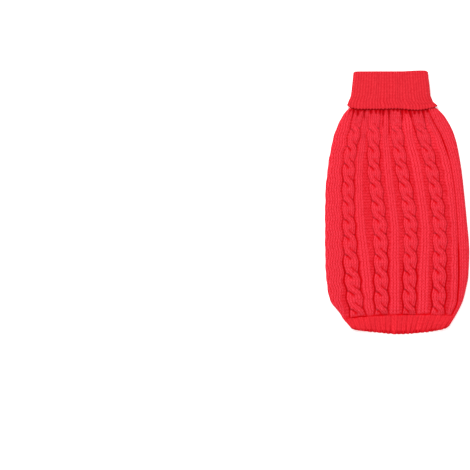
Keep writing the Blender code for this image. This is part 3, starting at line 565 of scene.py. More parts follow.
back = {
    "rows": 262,
    "cableColumns": 42,
    "gapColumns": 30,
    "edgeColumns": 26,
    "sideColumns": 34,
    "arcColumns": 12,
    "lipColumns": 6,
    "plainColumns": 16,
    "edgeGutter": 0.38,  # purl beside the right-hand cable, as a share of its way to the seam
    "stripMargin": 1.2,  # least purl between a plain rib and a cable
    "neckMargin": 0.7,  # towards the neck the plain ribs fill the gaps
    "neckSpread": (78, 24, 0.8),  # from this row on, over this length, by this share
    "leftGutter": 1.6,  # purl beside the left-hand cable, which widens towards the hem
    "leftWidening": (-80, -40, 4.6),
    "sideRise": 0.7,
    "tuckReach": 2.0,  # the ground starts to dip this far from a cable
    "gutterTone": 0.22,  # shade of the purl
    "gutterMore": ((70, -25, 0.08), (-60, 30)),  # and what it has more between these rows
    "plainGroove": 0.8,  # how much of the line between two wales shows on a plain rib
    "cableGroove": 0.4,
    "sideGroove": 1.1,
    "plump": (20, -110, 0.22),  # the cables stand higher from this row down, over this length, by this share
    "flatNeck": (84.0, 24.0, 0.5),  # and lower from this row up
    "hemFade": (-1.0, 8.0),  # above the hem seam
    "roll": (110.5, 5.0),  # where the collar lies on the back
    "faint": (60, 30),  # the painted shade is fainter from this row up, over this length
    "faintCrease": 0.7,
    "faintHollow": 0.6,
    "dark": (-40, -50, 0.6),  # and deeper from this row down
    "sewn": (0.6, 0.3, 4.3),  # painted shade along the hem seam: its strength, its unevenness, over this length
    "sewnFade": (20, 40, 0.5),  # the painted shade is lighter on the right, where the seam is drawn in less
    "sewnHalf": 1.1,
    "uneven": ((0.2, 2.3), (0.17, 5.1)),  # of the left fold: how much, over what length
    "unevenTop": (115, -10),
    "lowest": -1.1,
    "ripple": 0.35,
}


def backTop(rowY):  # the back's upper face from the side seam to the left fold
    kept = {key: [] for key in ("x", "height", "wale", "purl", "hollow", "crease")}
    turns = [cableTurns(rowY, number) for number in range(4)]
    half = []
    for number, turn in enumerate(turns):
        pinch = cable["pinch"] * np.cos(2 * math.pi * (turn - cable["pinchTurn"])) * ease(turn + 0.6)
        half.append(cableHalf[number](rowY) * (1 - pinch))

    def add(x, height, wale, purl, hollow, crease=0, groove=back["plainGroove"]):
        height = height - groove * waleGroove(wale) * (1 - purl) * (1 - crease)
        for key, value in zip(kept, (x, height, wale, purl, hollow, crease)):
            kept[key].append(value + 0 * x)

    def plainRib(x, low, high):  # with a gutter of purl on each side, which is painted with shade
        middle, wide = (low + high) / 2, (high - low) / 2
        off = np.clip(np.abs(x - middle) / wide, 0, 3)
        height = body["stripRise"] * (0.5 + 0.5 * np.cos(math.pi * np.clip(off * 0.98, 0, 1) ** 4))
        wale = (x - middle) / wide * 1.5 + 0.5
        start, end = back["gutterMore"]
        tone = back["gutterTone"] + ease(rowY, *start) * ease(rowY, *end)
        return height, wale, ease(off, 0.94, 0.08), tone * ease(off, 0.9, 0.2)

    def tucked(part, room):  # the ground dips where it runs in under a cable, which is this far away, and is painted with shade there
        near = 1 - ease(room / back["tuckReach"])
        height, wale, purl, hollow = part
        return height - cable["groundDip"] * near, wale, purl, np.maximum(hollow, 0.25 * near)

    # painted shade along a cable's foot
    def footLine(number, hand, room):
        return footTone(rowY, number, hand) * (1 - ease(room / foot["reach"]))

    for number in (3, 2, 1, 0):
        middle = cableMiddle[number](rowY)
        end = middle + half[number]
        if number == 3:
            seam = sideSeam(rowY)
            x = spaced(seam, end, back["edgeColumns"])
            strip = plainRib(x, end + back["edgeGutter"] * (seam - end), seam + 0.8)
            height, wale, purl, hollow = tucked(strip, x - end)
            dip = seamDip(rowY, seam - x)
            height = height * (1 - dip) - body["seamDip"] * dip
            hollow = np.maximum(hollow, footLine(number, 1, x - end))
            add(x, height, wale, purl, hollow, body["seamShade"] * dip)
        else:
            start = cableMiddle[number + 1](rowY) - half[number + 1]
            x = spaced(start, end, back["gapColumns"])
            mid, wide = (start + end) / 2 + stripOff[number](rowY), stripHalf[number](rowY)
            low = np.maximum(mid - wide, end + back["stripMargin"])
            high = np.minimum(mid + wide, start - back["stripMargin"])
            spread = ease(rowY, *back["neckSpread"])
            low = low + (end + back["neckMargin"] - low) * spread
            high = high + (start - back["neckMargin"] - high) * spread
            height, wale, purl, hollow = tucked(plainRib(x, low, high), np.minimum(start - x, x - end))
            lines = np.maximum(footLine(number, 1, x - end), footLine(number + 1, -1, start - x))
            add(x, height, wale, purl, np.maximum(hollow, lines))
        t = np.linspace(1, -1, back["cableColumns"], endpoint=False)[None, :]
        t = t + creasePlace(turns[number]) * (1 - t * t)
        height, wale, crease, ground = cableRelief(t, turns[number])
        # painted shade on the ground at the cable's edges, along its creases and along its foot
        rim = ease(np.abs(t), 0.86, 0.14)
        line = ease(np.abs(t), 0.87, 0.09) * (0.2 + 0.8 * footTone(rowY, number, np.sign(t)))
        tone = np.maximum(0.6 * crease**0.7, line)
        height = height - cable["groundDip"] * ground
        add(middle + t * half[number], height, wale, ground, 0.25 * ground * rim, tone, back["cableGroove"])
    ground = cableMiddle[0](rowY) - half[0]
    tangent = leftFold(rowY) + body["height"] / 2
    x = spaced(ground, tangent, back["sideColumns"])
    off = (ground - x) / (back["leftGutter"] + ease(rowY, *back["leftWidening"]))
    height = ease(off, 0.6, 0.8, back["sideRise"]) * ease((x - tangent) / 5.0)
    purl = 1 - ease(off, 0.8, 0.25)
    # painted shade in the purl beside the left-hand cable
    side = tucked((height, (ground - x) / body["wale"], purl, 0.22 * purl), ground - x)
    height, wale, purl, hollow = side
    hollow = np.maximum(hollow, footLine(0, -1, ground - x))
    add(x, height, wale, purl, hollow, 0, back["sideGroove"])
    return [np.concatenate(kept[key], axis=1) for key in kept]


def panelRows(count):  # the rows of a panel, and how many stitches down each one is
    rowY = np.linspace(body["neckY"] + body["seamInset"], body["hemY"] - body["seamInset"], count)[:, None]
    return rowY, (body["neckY"] - rowY) / body["course"]


def makeBack():
    rowY, course = panelRows(back["rows"])
    x, height, wale, purl, hollow, crease = backTop(rowY)
    y = bodyY(rowY, False, x)
    aboveHem = rowY - body["hemY"]
    ends = ease(aboveHem, *back["hemFade"])
    neck = 1 - ease(y, *back["flatNeck"])
    underRoll = 1 - ease(y, *back["roll"])
    plump = 1 + ease(y, *back["plump"])
    height = height * (0.15 + 0.85 * ends) * neck * plump * (0.1 + 0.9 * underRoll)
    height = np.maximum(height - gatherDepth(x, y) * underRoll, back["lowest"])
    height = height + ripple(x, y, back["ripple"]) * ends * underRoll
    # painted shade: fainter towards the neck, deeper towards the hem, and in the gathers
    faint = ease(y, *back["faint"])
    crease = crease * (1 - back["faintCrease"] * faint)
    dark = 1 + ease(y, *back["dark"])
    hollow = hollow * (1 - back["faintHollow"] * faint) * dark * (0.5 + 0.5 * ends)
    hollow = np.maximum(hollow, gatherTone(x, y))
    # painted shade along the hem seam
    sewnTone, sewnWave, sewnLength = back["sewn"]
    sewn = (sewnTone + sewnWave * np.sin(x / sewnLength)) * (1 - ease(x, *back["sewnFade"]))
    crease = np.maximum(crease, sewn * (1 - ease(aboveHem / back["sewnHalf"])))
    top = marked(bodyPoint("top", 0.0, rowY, -height, x), wale, course, purl, hollow, crease)
    arcShare = np.linspace(1, 0, back["arcColumns"], endpoint=False)[None, :]
    girth = (1 - arcShare) * math.pi * body["height"] / 2
    sideStart = wale[:, -1:]
    (short, shortLength), (long, longLength) = back["uneven"]
    uneven = short * np.sin(rowY / shortLength) + long * np.sin(rowY / longLength + 1)
    uneven = uneven * ease(rowY, *back["unevenTop"]) * np.sin(math.pi * arcShare)
    arc = marked(bodyPoint("left", arcShare, rowY, uneven), sideStart + girth / body["wale"], course)
    lipShare = np.linspace(1, body["leftSeamShare"], back["lipColumns"])[None, :]
    lip = marked(bodyPoint("bottom", lipShare, rowY, 0.0), sideStart + 5 + (1 - lipShare) * 80, course)
    lipIn = marked(bodyPoint("bottom", lipShare[:, ::-1], rowY, body["wall"]), 0.0, course)
    arcIn = marked(bodyPoint("left", arcShare[:, ::-1], rowY, body["wall"]), 0.0, course)
    wide = np.linspace(0, 1, back["plainColumns"])[None, :]
    tangent = leftFold(rowY) + body["height"] / 2
    plainX = tangent + (sideSeam(rowY) - tangent) * wide
    plain = marked(bodyPoint("top", 0.0, rowY, body["wall"], plainX), plainX / body["wale"], course)
    places, marks = joined([top, arc, lip, lipIn, arcIn, plain])
    return sheetFromGrid("knitBack", places, marks, True, False)


belly = {
    "rows": 170,
    "columns": 150,
    "edgeColumns": 24,  # of the strip that shows beside the back
    "arcColumns": 12,
    "plainColumns": 60,
    "seamGap": 0.05,
    "stripRise": 0.5,
    "shown": (108.0, -12.0),  # the strip comes out from under the collar here, over this length
    "hemFade": 10,
    "foldFade": 4,
    "ripple": 0.3,
    "foldWale": 2.1,  # the stitches are drawn closer on the fold
}


def makeBelly():
    rowY, course = panelRows(belly["rows"])
    seam = sideSeam(rowY) + belly["seamGap"]
    tangent = rightFold(rowY) - body["height"] / 2
    x = spaced(seam, tangent, belly["edgeColumns"])
    dip = seamDip(rowY, x - seam)
    y = bodyY(rowY, False, x)
    shown = ease(y, *belly["shown"]) * ease(rowY, body["hemY"], belly["hemFade"])
    toFold = ease((tangent - x) / belly["foldFade"])
    height = (belly["stripRise"] * toFold * (1 - dip) * shown) - body["seamDip"] * dip
    height = height + ripple(x, y, belly["ripple"]) * shown * toFold
    edge = bodyPoint("top", 0.0, rowY, -height, x)
    edge = marked(edge, (x - seam) / body["wale"], course, 0.0, 0.0, body["seamShade"] * dip)
    arcShare = np.linspace(0, 1, belly["arcColumns"], endpoint=False)[None, :]
    start = (tangent - seam) / body["wale"]
    arcWale = start + arcShare * math.pi * (body["height"] / 2) / belly["foldWale"]
    arc = marked(bodyPoint("right", arcShare, rowY, 0.0), arcWale, course)
    share = np.linspace(0, body["leftSeamShare"], belly["columns"])[None, :]
    flat = (rightFold(rowY) - leftFold(rowY) - body["height"]) / body["wale"]
    under = marked(bodyPoint("bottom", share, rowY, 0.0), start + 5 + share * flat, course)
    plainShare = np.linspace(body["leftSeamShare"], 0, belly["plainColumns"])[None, :]
    inner = bodyPoint("bottom", plainShare, rowY, body["wall"])
    inner = marked(inner, start + 5 + plainShare * flat, course)
    arcIn = marked(bodyPoint("right", arcShare[:, ::-1], rowY, body["wall"]), 0.0, course)
    edgeIn = marked(bodyPoint("top", 0.0, rowY, body["wall"], x[:, ::-1]), 0.0, course)
    places, marks = joined([edge, arc, under, inner, arcIn, edgeIn])
    piece = sheetFromGrid("knitBelly", places, marks, True, False)
    for place in legHole["x"]:
        cutLegHole(piece, place)
    return piece


def cutLegHole(piece, place):
    bpy.ops.object.select_all(action="DESELECT")
    bpy.ops.mesh.primitive_cylinder_add(
        vertices=legHole["sides"],
        radius=mm,
        depth=1.5 * body["wall"] * mm,
        location=(place * mm, legHole["y"] * mm, body["wall"] / 2 * mm),
    )
    cutter = bpy.context.object
    cutter.scale = (legHole["across"] + legHole["room"], legHole["along"] + legHole["room"], 1)
    bpy.ops.object.transform_apply(location=True, rotation=True, scale=True)
    bpy.context.view_layer.objects.active = piece
    cut = piece.modifiers.new("leg hole", "BOOLEAN")
    cut.operation = "DIFFERENCE"
    cut.object = cutter
    bpy.ops.object.modifier_apply(modifier=cut.name)
    bpy.data.objects.remove(cutter, do_unlink=True)


hem = {
    "depth": 23,
    "topRibs": 19,  # on the side that shows
    "topColumns": 342,
    "arcRibs": 2,  # round each fold
    "arcColumns": 10,
    "belowRibs": 20,
    "belowColumns": 120,
    "ribRise": 0.38,
    "lean": 0.55,  # of a rib's width, from the edge up to the seam
    "leftRibs": (0.1, 0.25, 0.65),  # the ribs are lower at the left end
    "ribFade": (0.2, 0.6, 0.65),  # and at the seam
    "seamPull": (-0.02, 0.14),  # the seam draws the band in from here, over this
    "chain": (0.965, 0.03),  # the bound-off loops: how far down, and half their width
    "scallop": 0.4,
    "tucked": ((-26, -12), (-64, 6)),  # the seam is drawn in deep between these places
    "tuck": (-0.02, 0.1),
    "gapTone": (0.35, 0.5, 0.5),  # painted shade in the gaps between the ribs, deeper from here down, over this
    "teeth": (0.79, 0.09),  # and painted shade in the gap where each column of stitches ends
    "lineHalf": 0.04,  # half width of the painted shade along the seam
    "outerRows": 26,
}


def makeHem():
    seamLeft, seamRight = leftSide(hemSeam(0)), rightSide(hemSeam(1))
    wall = body["wall"]
    outer = [(down, 0.0) for down in np.linspace(-0.02, 0.93, hem["outerRows"])]
    outer += [(0.965, 0.12), (0.99, 0.4), (1.0, 0.8)]
    inner = [(1.0, wall - 0.7), (0.985, wall - 0.2), (0.95, wall), (0.6, wall), (0.3, wall), (-0.02, wall)]
    profile = np.array(outer + inner)
    down, depth = profile[None, :, 0], profile[None, :, 1]
    outside = (np.arange(profile.shape[0]) < len(outer))[None, :]

    def block(side, count, start, ribs):
        share = np.linspace(0, 1, count, endpoint=False)[:, None]
        left = seamLeft + (hemEdgeX(0) - seamLeft) * down
        right = seamRight + (hemEdgeX(1) - seamRight) * down
        x, z, outX, outZ = stadium(side, share, left, right, 0.0, body["height"])
        way = (x - left) / (right - left)
        underneath = outZ < 0
        if side == "top":
            x = x + (hemEdgeX(way) - (hemEdgeX(0) + way * (hemEdgeX(1) - hemEdgeX(0)))) * down
        y = seamY(way, underneath) + (edgeY(way, underneath) - seamY(way, underneath)) * down
        wobble = 0.12 * np.sin(share * 21 + 1) + 0.1 * np.sin(share * 47 + down * 3)
        wobble = wobble * np.sin(math.pi * share)
        ribPhase = start + share * ribs + wobble * (side == "top") - hem["lean"] * (1 - down)
        crest, wale, purl = ribShape(ribPhase, 2)
        crest = crest * (0.7 + 0.3 * np.sin(share * 31 + 2)) * (0.35 + ease(way, *hem["leftRibs"]))
        rise = hem["ribRise"] * crest * (0.35 + ease(down, *hem["ribFade"]))
        seam = 1 - ease(down, *hem["seamPull"])
        chainDown, chainHalf = hem["chain"]
        loops = np.cos(4 * math.pi * ribPhase)
        chain = np.exp(-(((down - chainDown) / chainHalf) ** 2)) * (0.25 + 0.3 * loops)
        # painted shade along the seam, deeper where the seam is drawn in deep
        sewn = 0.25
        if side == "top":
            first, last = hem["tucked"]
            deep = ease(x, *first) * ease(x, *last)
            sewn = 0.25 + 0.45 * deep
            tuck = 0.1 + deep * (0.8 + 0.5 * np.sin(x / 1.3))
            relief = rise * (1 - seam) + chain - tuck * (1 - ease(down, *hem["tuck"]))
        elif side == "bottom":
            relief = np.minimum(rise - hem["ribRise"], 0.0) - 0.3 * seam
        else:
            relief = -0.3 * seam
        relief = np.where(outside, relief, 0.0)
        px = x - (depth - relief) * outX
        pz = z - (depth - relief) * outZ
        y = y - np.where(down > 0.9, hem["scallop"] * crest, 0.0) * (side == "top")
        places = np.stack([px, y + 0 * px, settle(px, y, pz)], axis=-1)
        # painted shade in the rib gaps, at the ends of the columns, along the seam and inside the band
        gap = np.clip(-crest, 0, 1) * (0.1 + ease(down, *hem["gapTone"]))
        tooth = np.abs(2 * (2 * ribPhase - np.round(2 * ribPhase)))
        teeth = (0.75 + 0.25 * np.sin(x / 3.1)) * ease(down, *hem["teeth"]) * ease(tooth, 0.2, 0.5)
        ragged = down - 0.04 * sewn * np.sin(x / 1.7) * (side == "top")
        line = np.exp(-((ragged / hem["lineHalf"]) ** 2)) * (0.4 + sewn + 0.2 * np.sin(x / 4.3))
        line = np.where(outside, line * (1 - ease(x, *back["sewnFade"])), 0.0)
        hollow = np.where(outside, np.maximum(gap, teeth), 0.3)
        course = down * hem["depth"] / body["course"] + 0 * share
        return marked(places, wale, course, np.where(outside, purl, 0.0), hollow, line)

    return tubeOfRibs("knitHem", hem, 4, block)


collar = {
    "depth": 46,  # from the fold to the free edge
    "wall": 2.3,
    "gap": 0.4,
    "height": 11.0,
    "inner": 2.7,  # the layer on the neck lies this far under the outer face
    "foldEnds": (-53.8, 37.9),
    "edgeEnds": (-59.0, 47.5),
    "curl": 0.5,  # the free edge stands off the back
    "curlLength": 11.0,
    "turnIn": (0.4, 3.0),  # but its last few millimetres turn in again, by this much
    "topRibs": 26,  # on the side that shows
    "topColumns": 312,
    "arcRibs": 5,  # round each side
    "arcColumns": 16,
    "belowRibs": 26,
    "belowColumns": 120,
    "ribRise": 0.08,
    "chain": (0.972, 0.016),  # the bound-off loops: how far down, and half their width
    "groove": (0.938, 0.012),  # and the row above them
    "scallop": 0.45,
    "spread": (0.35, 0.5, 0.5),  # the ribs spread, so their gaps, painted with shade, show from this share of the way down
    "plainEdge": (0.945, 0.015),  # no gaps show on the bound-off loops
}


# Once round the wall of the folded tube: its layer, the share of the way down, the depth under the outer
# face, and how far below the fold it ends at the top
def collarProfile():
    turn = collar["wall"] + collar["gap"] / 2
    edge = [("outer", 0.998, 0.9, 0.0), ("outer", 1.0, 0.6, 0.0), ("outer", 0.996, 0.25, 0.0)]
    bound = (0.985, 0.977, 0.969, 0.961, 0.953, 0.945, 0.935, 0.925)
    profile = edge + [("outer", down, 0.0, 0.0) for down in bound]
    profile += [("outer", down, 0.0, 0.0) for down in np.linspace(0.9, 0.0, 34)]
    for angle in range(15, 180, 15):
        bend = math.radians(angle)
        profile.append(("outer", 0.0, turn * (1 - math.cos(bend)), turn * (1 - math.sin(bend))))
    rolled = len(profile)
    profile += [("inner", 0.0, 2 * turn, turn), ("inner", 0.5, 2 * turn, turn / 2)]
    profile += [("inner", 1.0, 2 * turn, 0.0), ("inner", 1.0, collar["inner"], 0.0)]
    profile += [("inner", 0.5, collar["inner"], turn), ("inner", 0.0, collar["inner"], turn)]
    profile += [("outer", 0.0, collar["wall"], turn), ("outer", 0.5, collar["wall"], turn)]
    profile += [("outer", 0.92, collar["wall"], 0.0), ("outer", 0.985, collar["wall"] - 0.2, 0.0)]
    return profile, rolled


def collarLine(side, share, step, relief, outside):  # once along one step of the profile
    layer, down, depth, fold = step
    x = stadium(side, share, *collar["foldEnds"], 0.0, collar["height"])[0]
    top = collarFold(x) - fold
    x = stadium(side, share, *collar["edgeEnds"], 0.0, collar["height"])[0]
    low = collarEdge(x) if layer == "outer" else body["neckY"] - 0.1 + 0 * x
    y = top + (low - top) * down
    left, right = collarSide[layer + "Left"](y), collarSide[layer + "Right"](y)
    base = collar["inner"] if layer == "inner" else 0.0
    x, z, outX, outZ = stadium(side, share, left, right, base, collar["height"] - base)
    depth = depth - base + 0 * x
    if layer == "outer":
        near = ease((low + collar["curlLength"] - y) / collar["curlLength"]) * np.maximum(outZ, 0)
        turnIn, turnLength = collar["turnIn"]
        depth = depth - collar["curl"] * near
        depth = depth + (turnIn * ease((low + turnLength - y) / turnLength) * near if outside else 0)
    if outside:
        depth = depth - relief
    return np.stack([x - depth * outX, y + 0 * x, z - depth * outZ], axis=-1)


def makeCollar():
    profile, rolled = collarProfile()

    def block(side, count, start, ribs):
        share = np.linspace(0, 1, count, endpoint=False)[:, None]
        lines, kept = [], {key: [] for key in ("wale", "course", "purl", "hollow", "crease")}
        for number, step in enumerate(profile):
            down, outside = step[1], number < rolled
            wobble = 0.16 * np.sin(share * 19 + down * 2) + 0.12 * np.sin(share * 43 - down)
            wobble = wobble * np.sin(math.pi * share)
            phase = start + share * ribs + wobble * (side == "top")
            crest, wale, purl = ribShape(phase, 1)
            crest = crest * (0.65 + 0.35 * np.sin(share * 13 + down * 3))
            rise = collar["ribRise"] * crest
            if side == "bottom":
                rise = np.minimum(rise - collar["ribRise"], 0) * 0.8
            elif side in ("left", "right"):
                rise = 0 * rise
            (chainDown, chainHalf), (grooveDown, grooveHalf) = collar["chain"], collar["groove"]
            loops = np.cos(2 * math.pi * phase)
            chain = np.exp(-(((down - chainDown) / chainHalf) ** 2)) * (0.55 + 0.4 * loops)
            groove = 0.35 * np.exp(-(((down - grooveDown) / grooveHalf) ** 2))
            relief = rise + (chain - groove) * (side != "bottom")
            place = collarLine(side, share, step, relief, outside)
            place[..., 1] -= collar["scallop"] * loops * ease(down, 0.9, 0.08) * (side == "top")
            place[..., 2] = np.maximum(place[..., 2], 0.0)  # nothing reaches below the floor
            lines.append(place)
            # painted shade in the gaps between the ribs, inside the tube and under the free edge
            spread = 0.2 + ease(down, *collar["spread"])
            tone = 0.4 + 0 * crest
            if outside:
                tone = np.clip(-0.5 * spread * crest, 0, 1) * (1 - ease(down, *collar["plainEdge"]))
            inShade = 1.0 if number < 2 or down > 0.98 and not outside else 0.0
            course = 0 * crest + down * collar["depth"] / body["course"]
            values = (wale + 0.5, course, purl if outside else 0 * crest, tone, 0 * crest + inShade)
            for key, value in zip(kept, values):
                kept[key].append(value)
        places = np.stack(lines, axis=1)[:, :, 0]
        return marked(places, *[np.stack(kept[key], axis=1)[..., 0] for key in kept])

    return tubeOfRibs("knitCollar", collar, 2, block)


cuff = {
    "depth": 10.5,  # from the seam in to the opening
    "ribs": 22,
    "ribColumns": 10,
    "ribRise": 0.3,
    "valleyHalf": 0.13,
    "seamRoom": 0.25,
    "courses": 6,
    "outerRows": 14,
}


def makeCuff(name, place):
    wall = body["wall"]
    profile = [(down, 0.3 + 1.1 * down) for down in np.linspace(0, 0.94, cuff["outerRows"])]
    profile += [(0.98, 1.7), (1.0, 2.3), (0.99, 2.9), (0.95, wall + 0.85), (0.5, wall + 0.6), (0.0, wall)]
    profile = np.array(profile)
    down, z = profile[None, :, 0], profile[None, :, 1]
    angle = np.linspace(0, 2 * math.pi, cuff["ribs"] * cuff["ribColumns"], endpoint=False)[:, None]
    crest, wale, purl = ribShape(angle / (2 * math.pi) * cuff["ribs"], 2, cuff["valleyHalf"])
    under = (np.arange(len(profile)) < cuff["outerRows"])[None, :]
    relief = cuff["ribRise"] * (crest + 1) * ease(down / 0.3) * 0.9
    z = z - np.where(under, relief, 0.0) + 0 * angle
    across = legHole["across"] + cuff["seamRoom"] - cuff["depth"] * down
    along = legHole["along"] + cuff["seamRoom"] - cuff["depth"] * down
    x = place + across * np.cos(angle)
    y = legHole["y"] + along * np.sin(angle)
    # painted shade in the gaps between the ribs, and inside
    hollow = np.where(under, np.clip(-0.5 * crest, 0, 1), 0.4)
    purl = np.where(under, purl, 0.0)
    places = np.stack([x, y, z], axis=-1)
    places, marks = marked(places, wale + 0 * down, down * cuff["courses"] + 0 * angle, purl, hollow)
    return sheetFromGrid(name, places, marks, True, True, 4 * cuff["ribs"])


def linearColour(text):
    values = [int(text[i : i + 2], 16) / 255 for i in (1, 3, 5)]
    return [v / 12.92 if v <= 0.04045 else ((v + 0.055) / 1.055) ** 2.4 for v in values] + [1.0]


def addNode(tree, kind, inputs, output=0, **settings):  # an input is a value or another node's output
    node = tree.nodes.new(kind)
    for key, value in settings.items():
        setattr(node, key, value)
    for key, value in inputs.items():
        if isinstance(value, bpy.types.NodeSocket):
            tree.links.new(value, node.inputs[key])
        else:
            node.inputs[key].default_value = value
    return node.outputs[output]


def newMaterial(name, values):
    material = bpy.data.materials.new(name)
    material.use_nodes = True
    for socket, value in values.items():
        material.node_tree.nodes["Principled BSDF"].inputs[socket].default_value = value
    return material


# Acrylic yarn, two plies softly spun and dyed in the hank: matt, faintly fuzzy, painted a little lighter on
# the crowns of the stitches and painted with deep red shade where the loops go under each other
yarn = {
    "panels": ("#fc4254", "#d00008"),  # crown and ground of the stitches: painted light on the crowns, painted shade between the loops, plus uneven dye
    # the same yarn on collar and hem: painted shade on the collar, near the key light, painted light on the
    # hem, sloping away
    "collar": ("#e5343f", "#c51422"),
    "hem": ("#f3333f", "#d00e1c"),
    "hollow": ("#be000a", 1.25),  # out of the light, and how soon it is reached
    "crease": ("#dc000b", 1.4),  # painted shade on steep sides and in creases, kept a bright red, and how soon it is reached
    "panelDepth": 0.0013,  # bump of a stitch, in metres
    "ribDepth": 0.00065,
    "fuzzScale": 900.0,  # to a metre: fibres stand 1.1 mm apart
    "heatherScale": 420.0,  # the dye varies over 2.4 mm, from stitch to stitch
    "surface": {
        "Roughness": 0.9,
        "Specular IOR Level": 0.04,
        "Sheen Weight": 0.05,
        "Sheen Tint": linearColour("#ff5060"),
        "Sheen Roughness": 0.5,
        "IOR": 1.49,
    },
}

# How the bump and the colour of the stitches are worked out: result, operation and what goes in. wale and
# course count the stitches across and along
stitchSteps = (
    ("inWale", "FRACT", "wale"),
    ("offMiddle", "SUBTRACT", "inWale", 0.5),
    ("across", "ABSOLUTE", "offMiddle"),  # 0 in the middle of a stitch
    ("acrossAngle", "MULTIPLY", "across", math.pi),
    ("acrossSine", "SINE", "acrossAngle"),
    ("between", "POWER", "acrossSine", 6),  # 1 between two wales
    ("betweenDip", "MULTIPLY", "between", 0.6),
    ("acrossCosine", "COSINE", "acrossAngle"),
    ("inside", "POWER", "acrossCosine", 16),  # 1 between the two legs of a stitch
    ("insideDip", "MULTIPLY", "inside", 0.3),
    ("legOutside", "SUBTRACT", 1.0, "betweenDip"),
    ("leg", "SUBTRACT", "legOutside", "insideDip"),
    ("slant", "MULTIPLY", "across", 2.0),
    ("chevron", "SUBTRACT", "course", "slant"),
    ("chevronAngle", "MULTIPLY", "chevron", math.pi),
    ("chevronSine", "SINE", "chevronAngle"),
    ("chevronRise", "ABSOLUTE", "chevronSine"),
    ("loop", "POWER", "chevronRise", 0.6),
    ("loopHeight", "MULTIPLY_ADD", "loop", 0.65, 0.35),
    ("plain", "MULTIPLY", "leg", "loopHeight"),  # the face of stockinette
    ("waleAngle", "MULTIPLY", "wale", 2 * math.pi),
    ("waleSine", "SINE", "waleAngle"),
    ("waveEven", "MULTIPLY", "waleSine", 0.16),
    ("wave", "MULTIPLY_ADD", "heather", 1.5, "waveEven"),
    ("rowPhase", "ADD", "course", "wave"),
    ("rowAngle", "MULTIPLY", "rowPhase", math.pi),
    ("rowSine", "SINE", "rowAngle"),
    ("rowRise", "ABSOLUTE", "rowSine"),
    ("row", "POWER", "rowRise", 0.8),
    ("waleCosine", "COSINE", "waleAngle"),
    ("bumpRise", "ABSOLUTE", "waleCosine"),
    ("bumps", "MULTIPLY_ADD", "bumpRise", 0.5, 0.5),
    ("purlRows", "MULTIPLY", "row", "bumps"),
    ("purlHeight", "MULTIPLY_ADD", "purlRows", 0.6, 0.25),  # the bumpy back of stockinette
)
shadeSteps = (
    ("steep", "MULTIPLY", "crease", 1.3),
    ("steepShare", "MINIMUM", "steep", 1.0),
    ("shown", "SUBTRACT", 1.0, "steepShare"),  # no stitches show on steep sides
    ("stitch", "MULTIPLY", "knitted", "shown"),
    ("height", "MULTIPLY_ADD", "fuzz", 0.45, "stitch"),
    # painted light on the crowns of the stitches and painted shade between them, with the dye's unevenness
    ("lit", "MULTIPLY_ADD", "stitch", 1.2, -0.8),
    ("litHeather", "ADD", "lit", "heather"),
    ("light", "MULTIPLY_ADD", "fuzz", 0.2, "litHeather"),
)


def knitMaterial(name, crown, ground, stitchDepth):
    material = newMaterial(name, yarn["surface"])
    tree = material.node_tree
    where = addNode(tree, "ShaderNodeTexCoord", {}, "Object")
    stitches = addNode(tree, "ShaderNodeUVMap", {}, uv_map="stitches")
    sockets = {}
    for axis, key in enumerate(("wale", "course")):
        sockets[key] = addNode(tree, "ShaderNodeSeparateXYZ", {0: stitches}, axis)
    for key, roughness in (("fuzz", 0.65), ("heather", 0.6)):
        noise = {"Vector": where, "Scale": yarn[key + "Scale"], "Detail": 3.0, "Roughness": roughness}
        sockets[key] = addNode(tree, "ShaderNodeTexNoise", noise, "Fac")
    for key in ("purl", "hollow", "crease"):
        sockets[key] = addNode(tree, "ShaderNodeAttribute", {}, "Fac", attribute_name=key)

    def follow(steps):
        for result, operation, *given in steps:
            inputs = {i: sockets.get(value, value) for i, value in enumerate(given)}
            sockets[result] = addNode(tree, "ShaderNodeMath", inputs, operation=operation)

    follow(stitchSteps)
    inputs = {0: sockets["purl"], 2: sockets["plain"], 3: sockets["purlHeight"]}
    sockets["knitted"] = addNode(tree, "ShaderNodeMix", inputs, data_type="FLOAT")
    follow(shadeSteps)
    inputs = {"Strength": 0.8, "Distance": stitchDepth, "Height": sockets["height"]}
    bump = addNode(tree, "ShaderNodeBump", inputs)
    # the stitches painted lighter on their crowns and darker between them
    share = addNode(tree, "ShaderNodeClamp", {0: sockets["light"]})
    inputs = {0: share, 6: linearColour(ground), 7: linearColour(crown)}
    tone = addNode(tree, "ShaderNodeMix", inputs, 2, data_type="RGBA")
    # painted shade: the hollow colour in recesses, then the crease colour on steep sides and creases
    for key in ("hollow", "crease"):
        colour, strength = yarn[key]
        inputs = {0: sockets[key], 1: strength}
        deep = addNode(tree, "ShaderNodeMath", inputs, operation="MULTIPLY", use_clamp=True)
        inputs = {0: deep, 6: tone, 7: linearColour(colour)}
        tone = addNode(tree, "ShaderNodeMix", inputs, 2, data_type="RGBA")
    shader = tree.nodes["Principled BSDF"]
    tree.links.new(bump, shader.inputs["Normal"])
    tree.links.new(tone, shader.inputs["Base Color"])
    return material


pieces = {}
pieces["back_panel"] = makeBack()
print("back knitted:", len(pieces["back_panel"].data.polygons), "faces")
pieces["belly_panel"] = makeBelly()
print("belly knitted:", len(pieces["belly_panel"].data.polygons), "faces")
pieces["hem_band"] = makeHem()
print("hem knitted:", len(pieces["hem_band"].data.polygons), "faces")
pieces["collar"] = makeCollar()
print("collar knitted:", len(pieces["collar"].data.polygons), "faces")
pieces["cuff_left"] = makeCuff("knitCuffLeft", legHole["x"][0])
pieces["cuff_right"] = makeCuff("knitCuffRight", legHole["x"][1])
print("cuffs knitted")

cableYarn = knitMaterial("acrylic yarn, cable knit", *yarn["panels"], yarn["panelDepth"])
plainYarn = knitMaterial("acrylic yarn, stockinette", *yarn["panels"], yarn["panelDepth"])
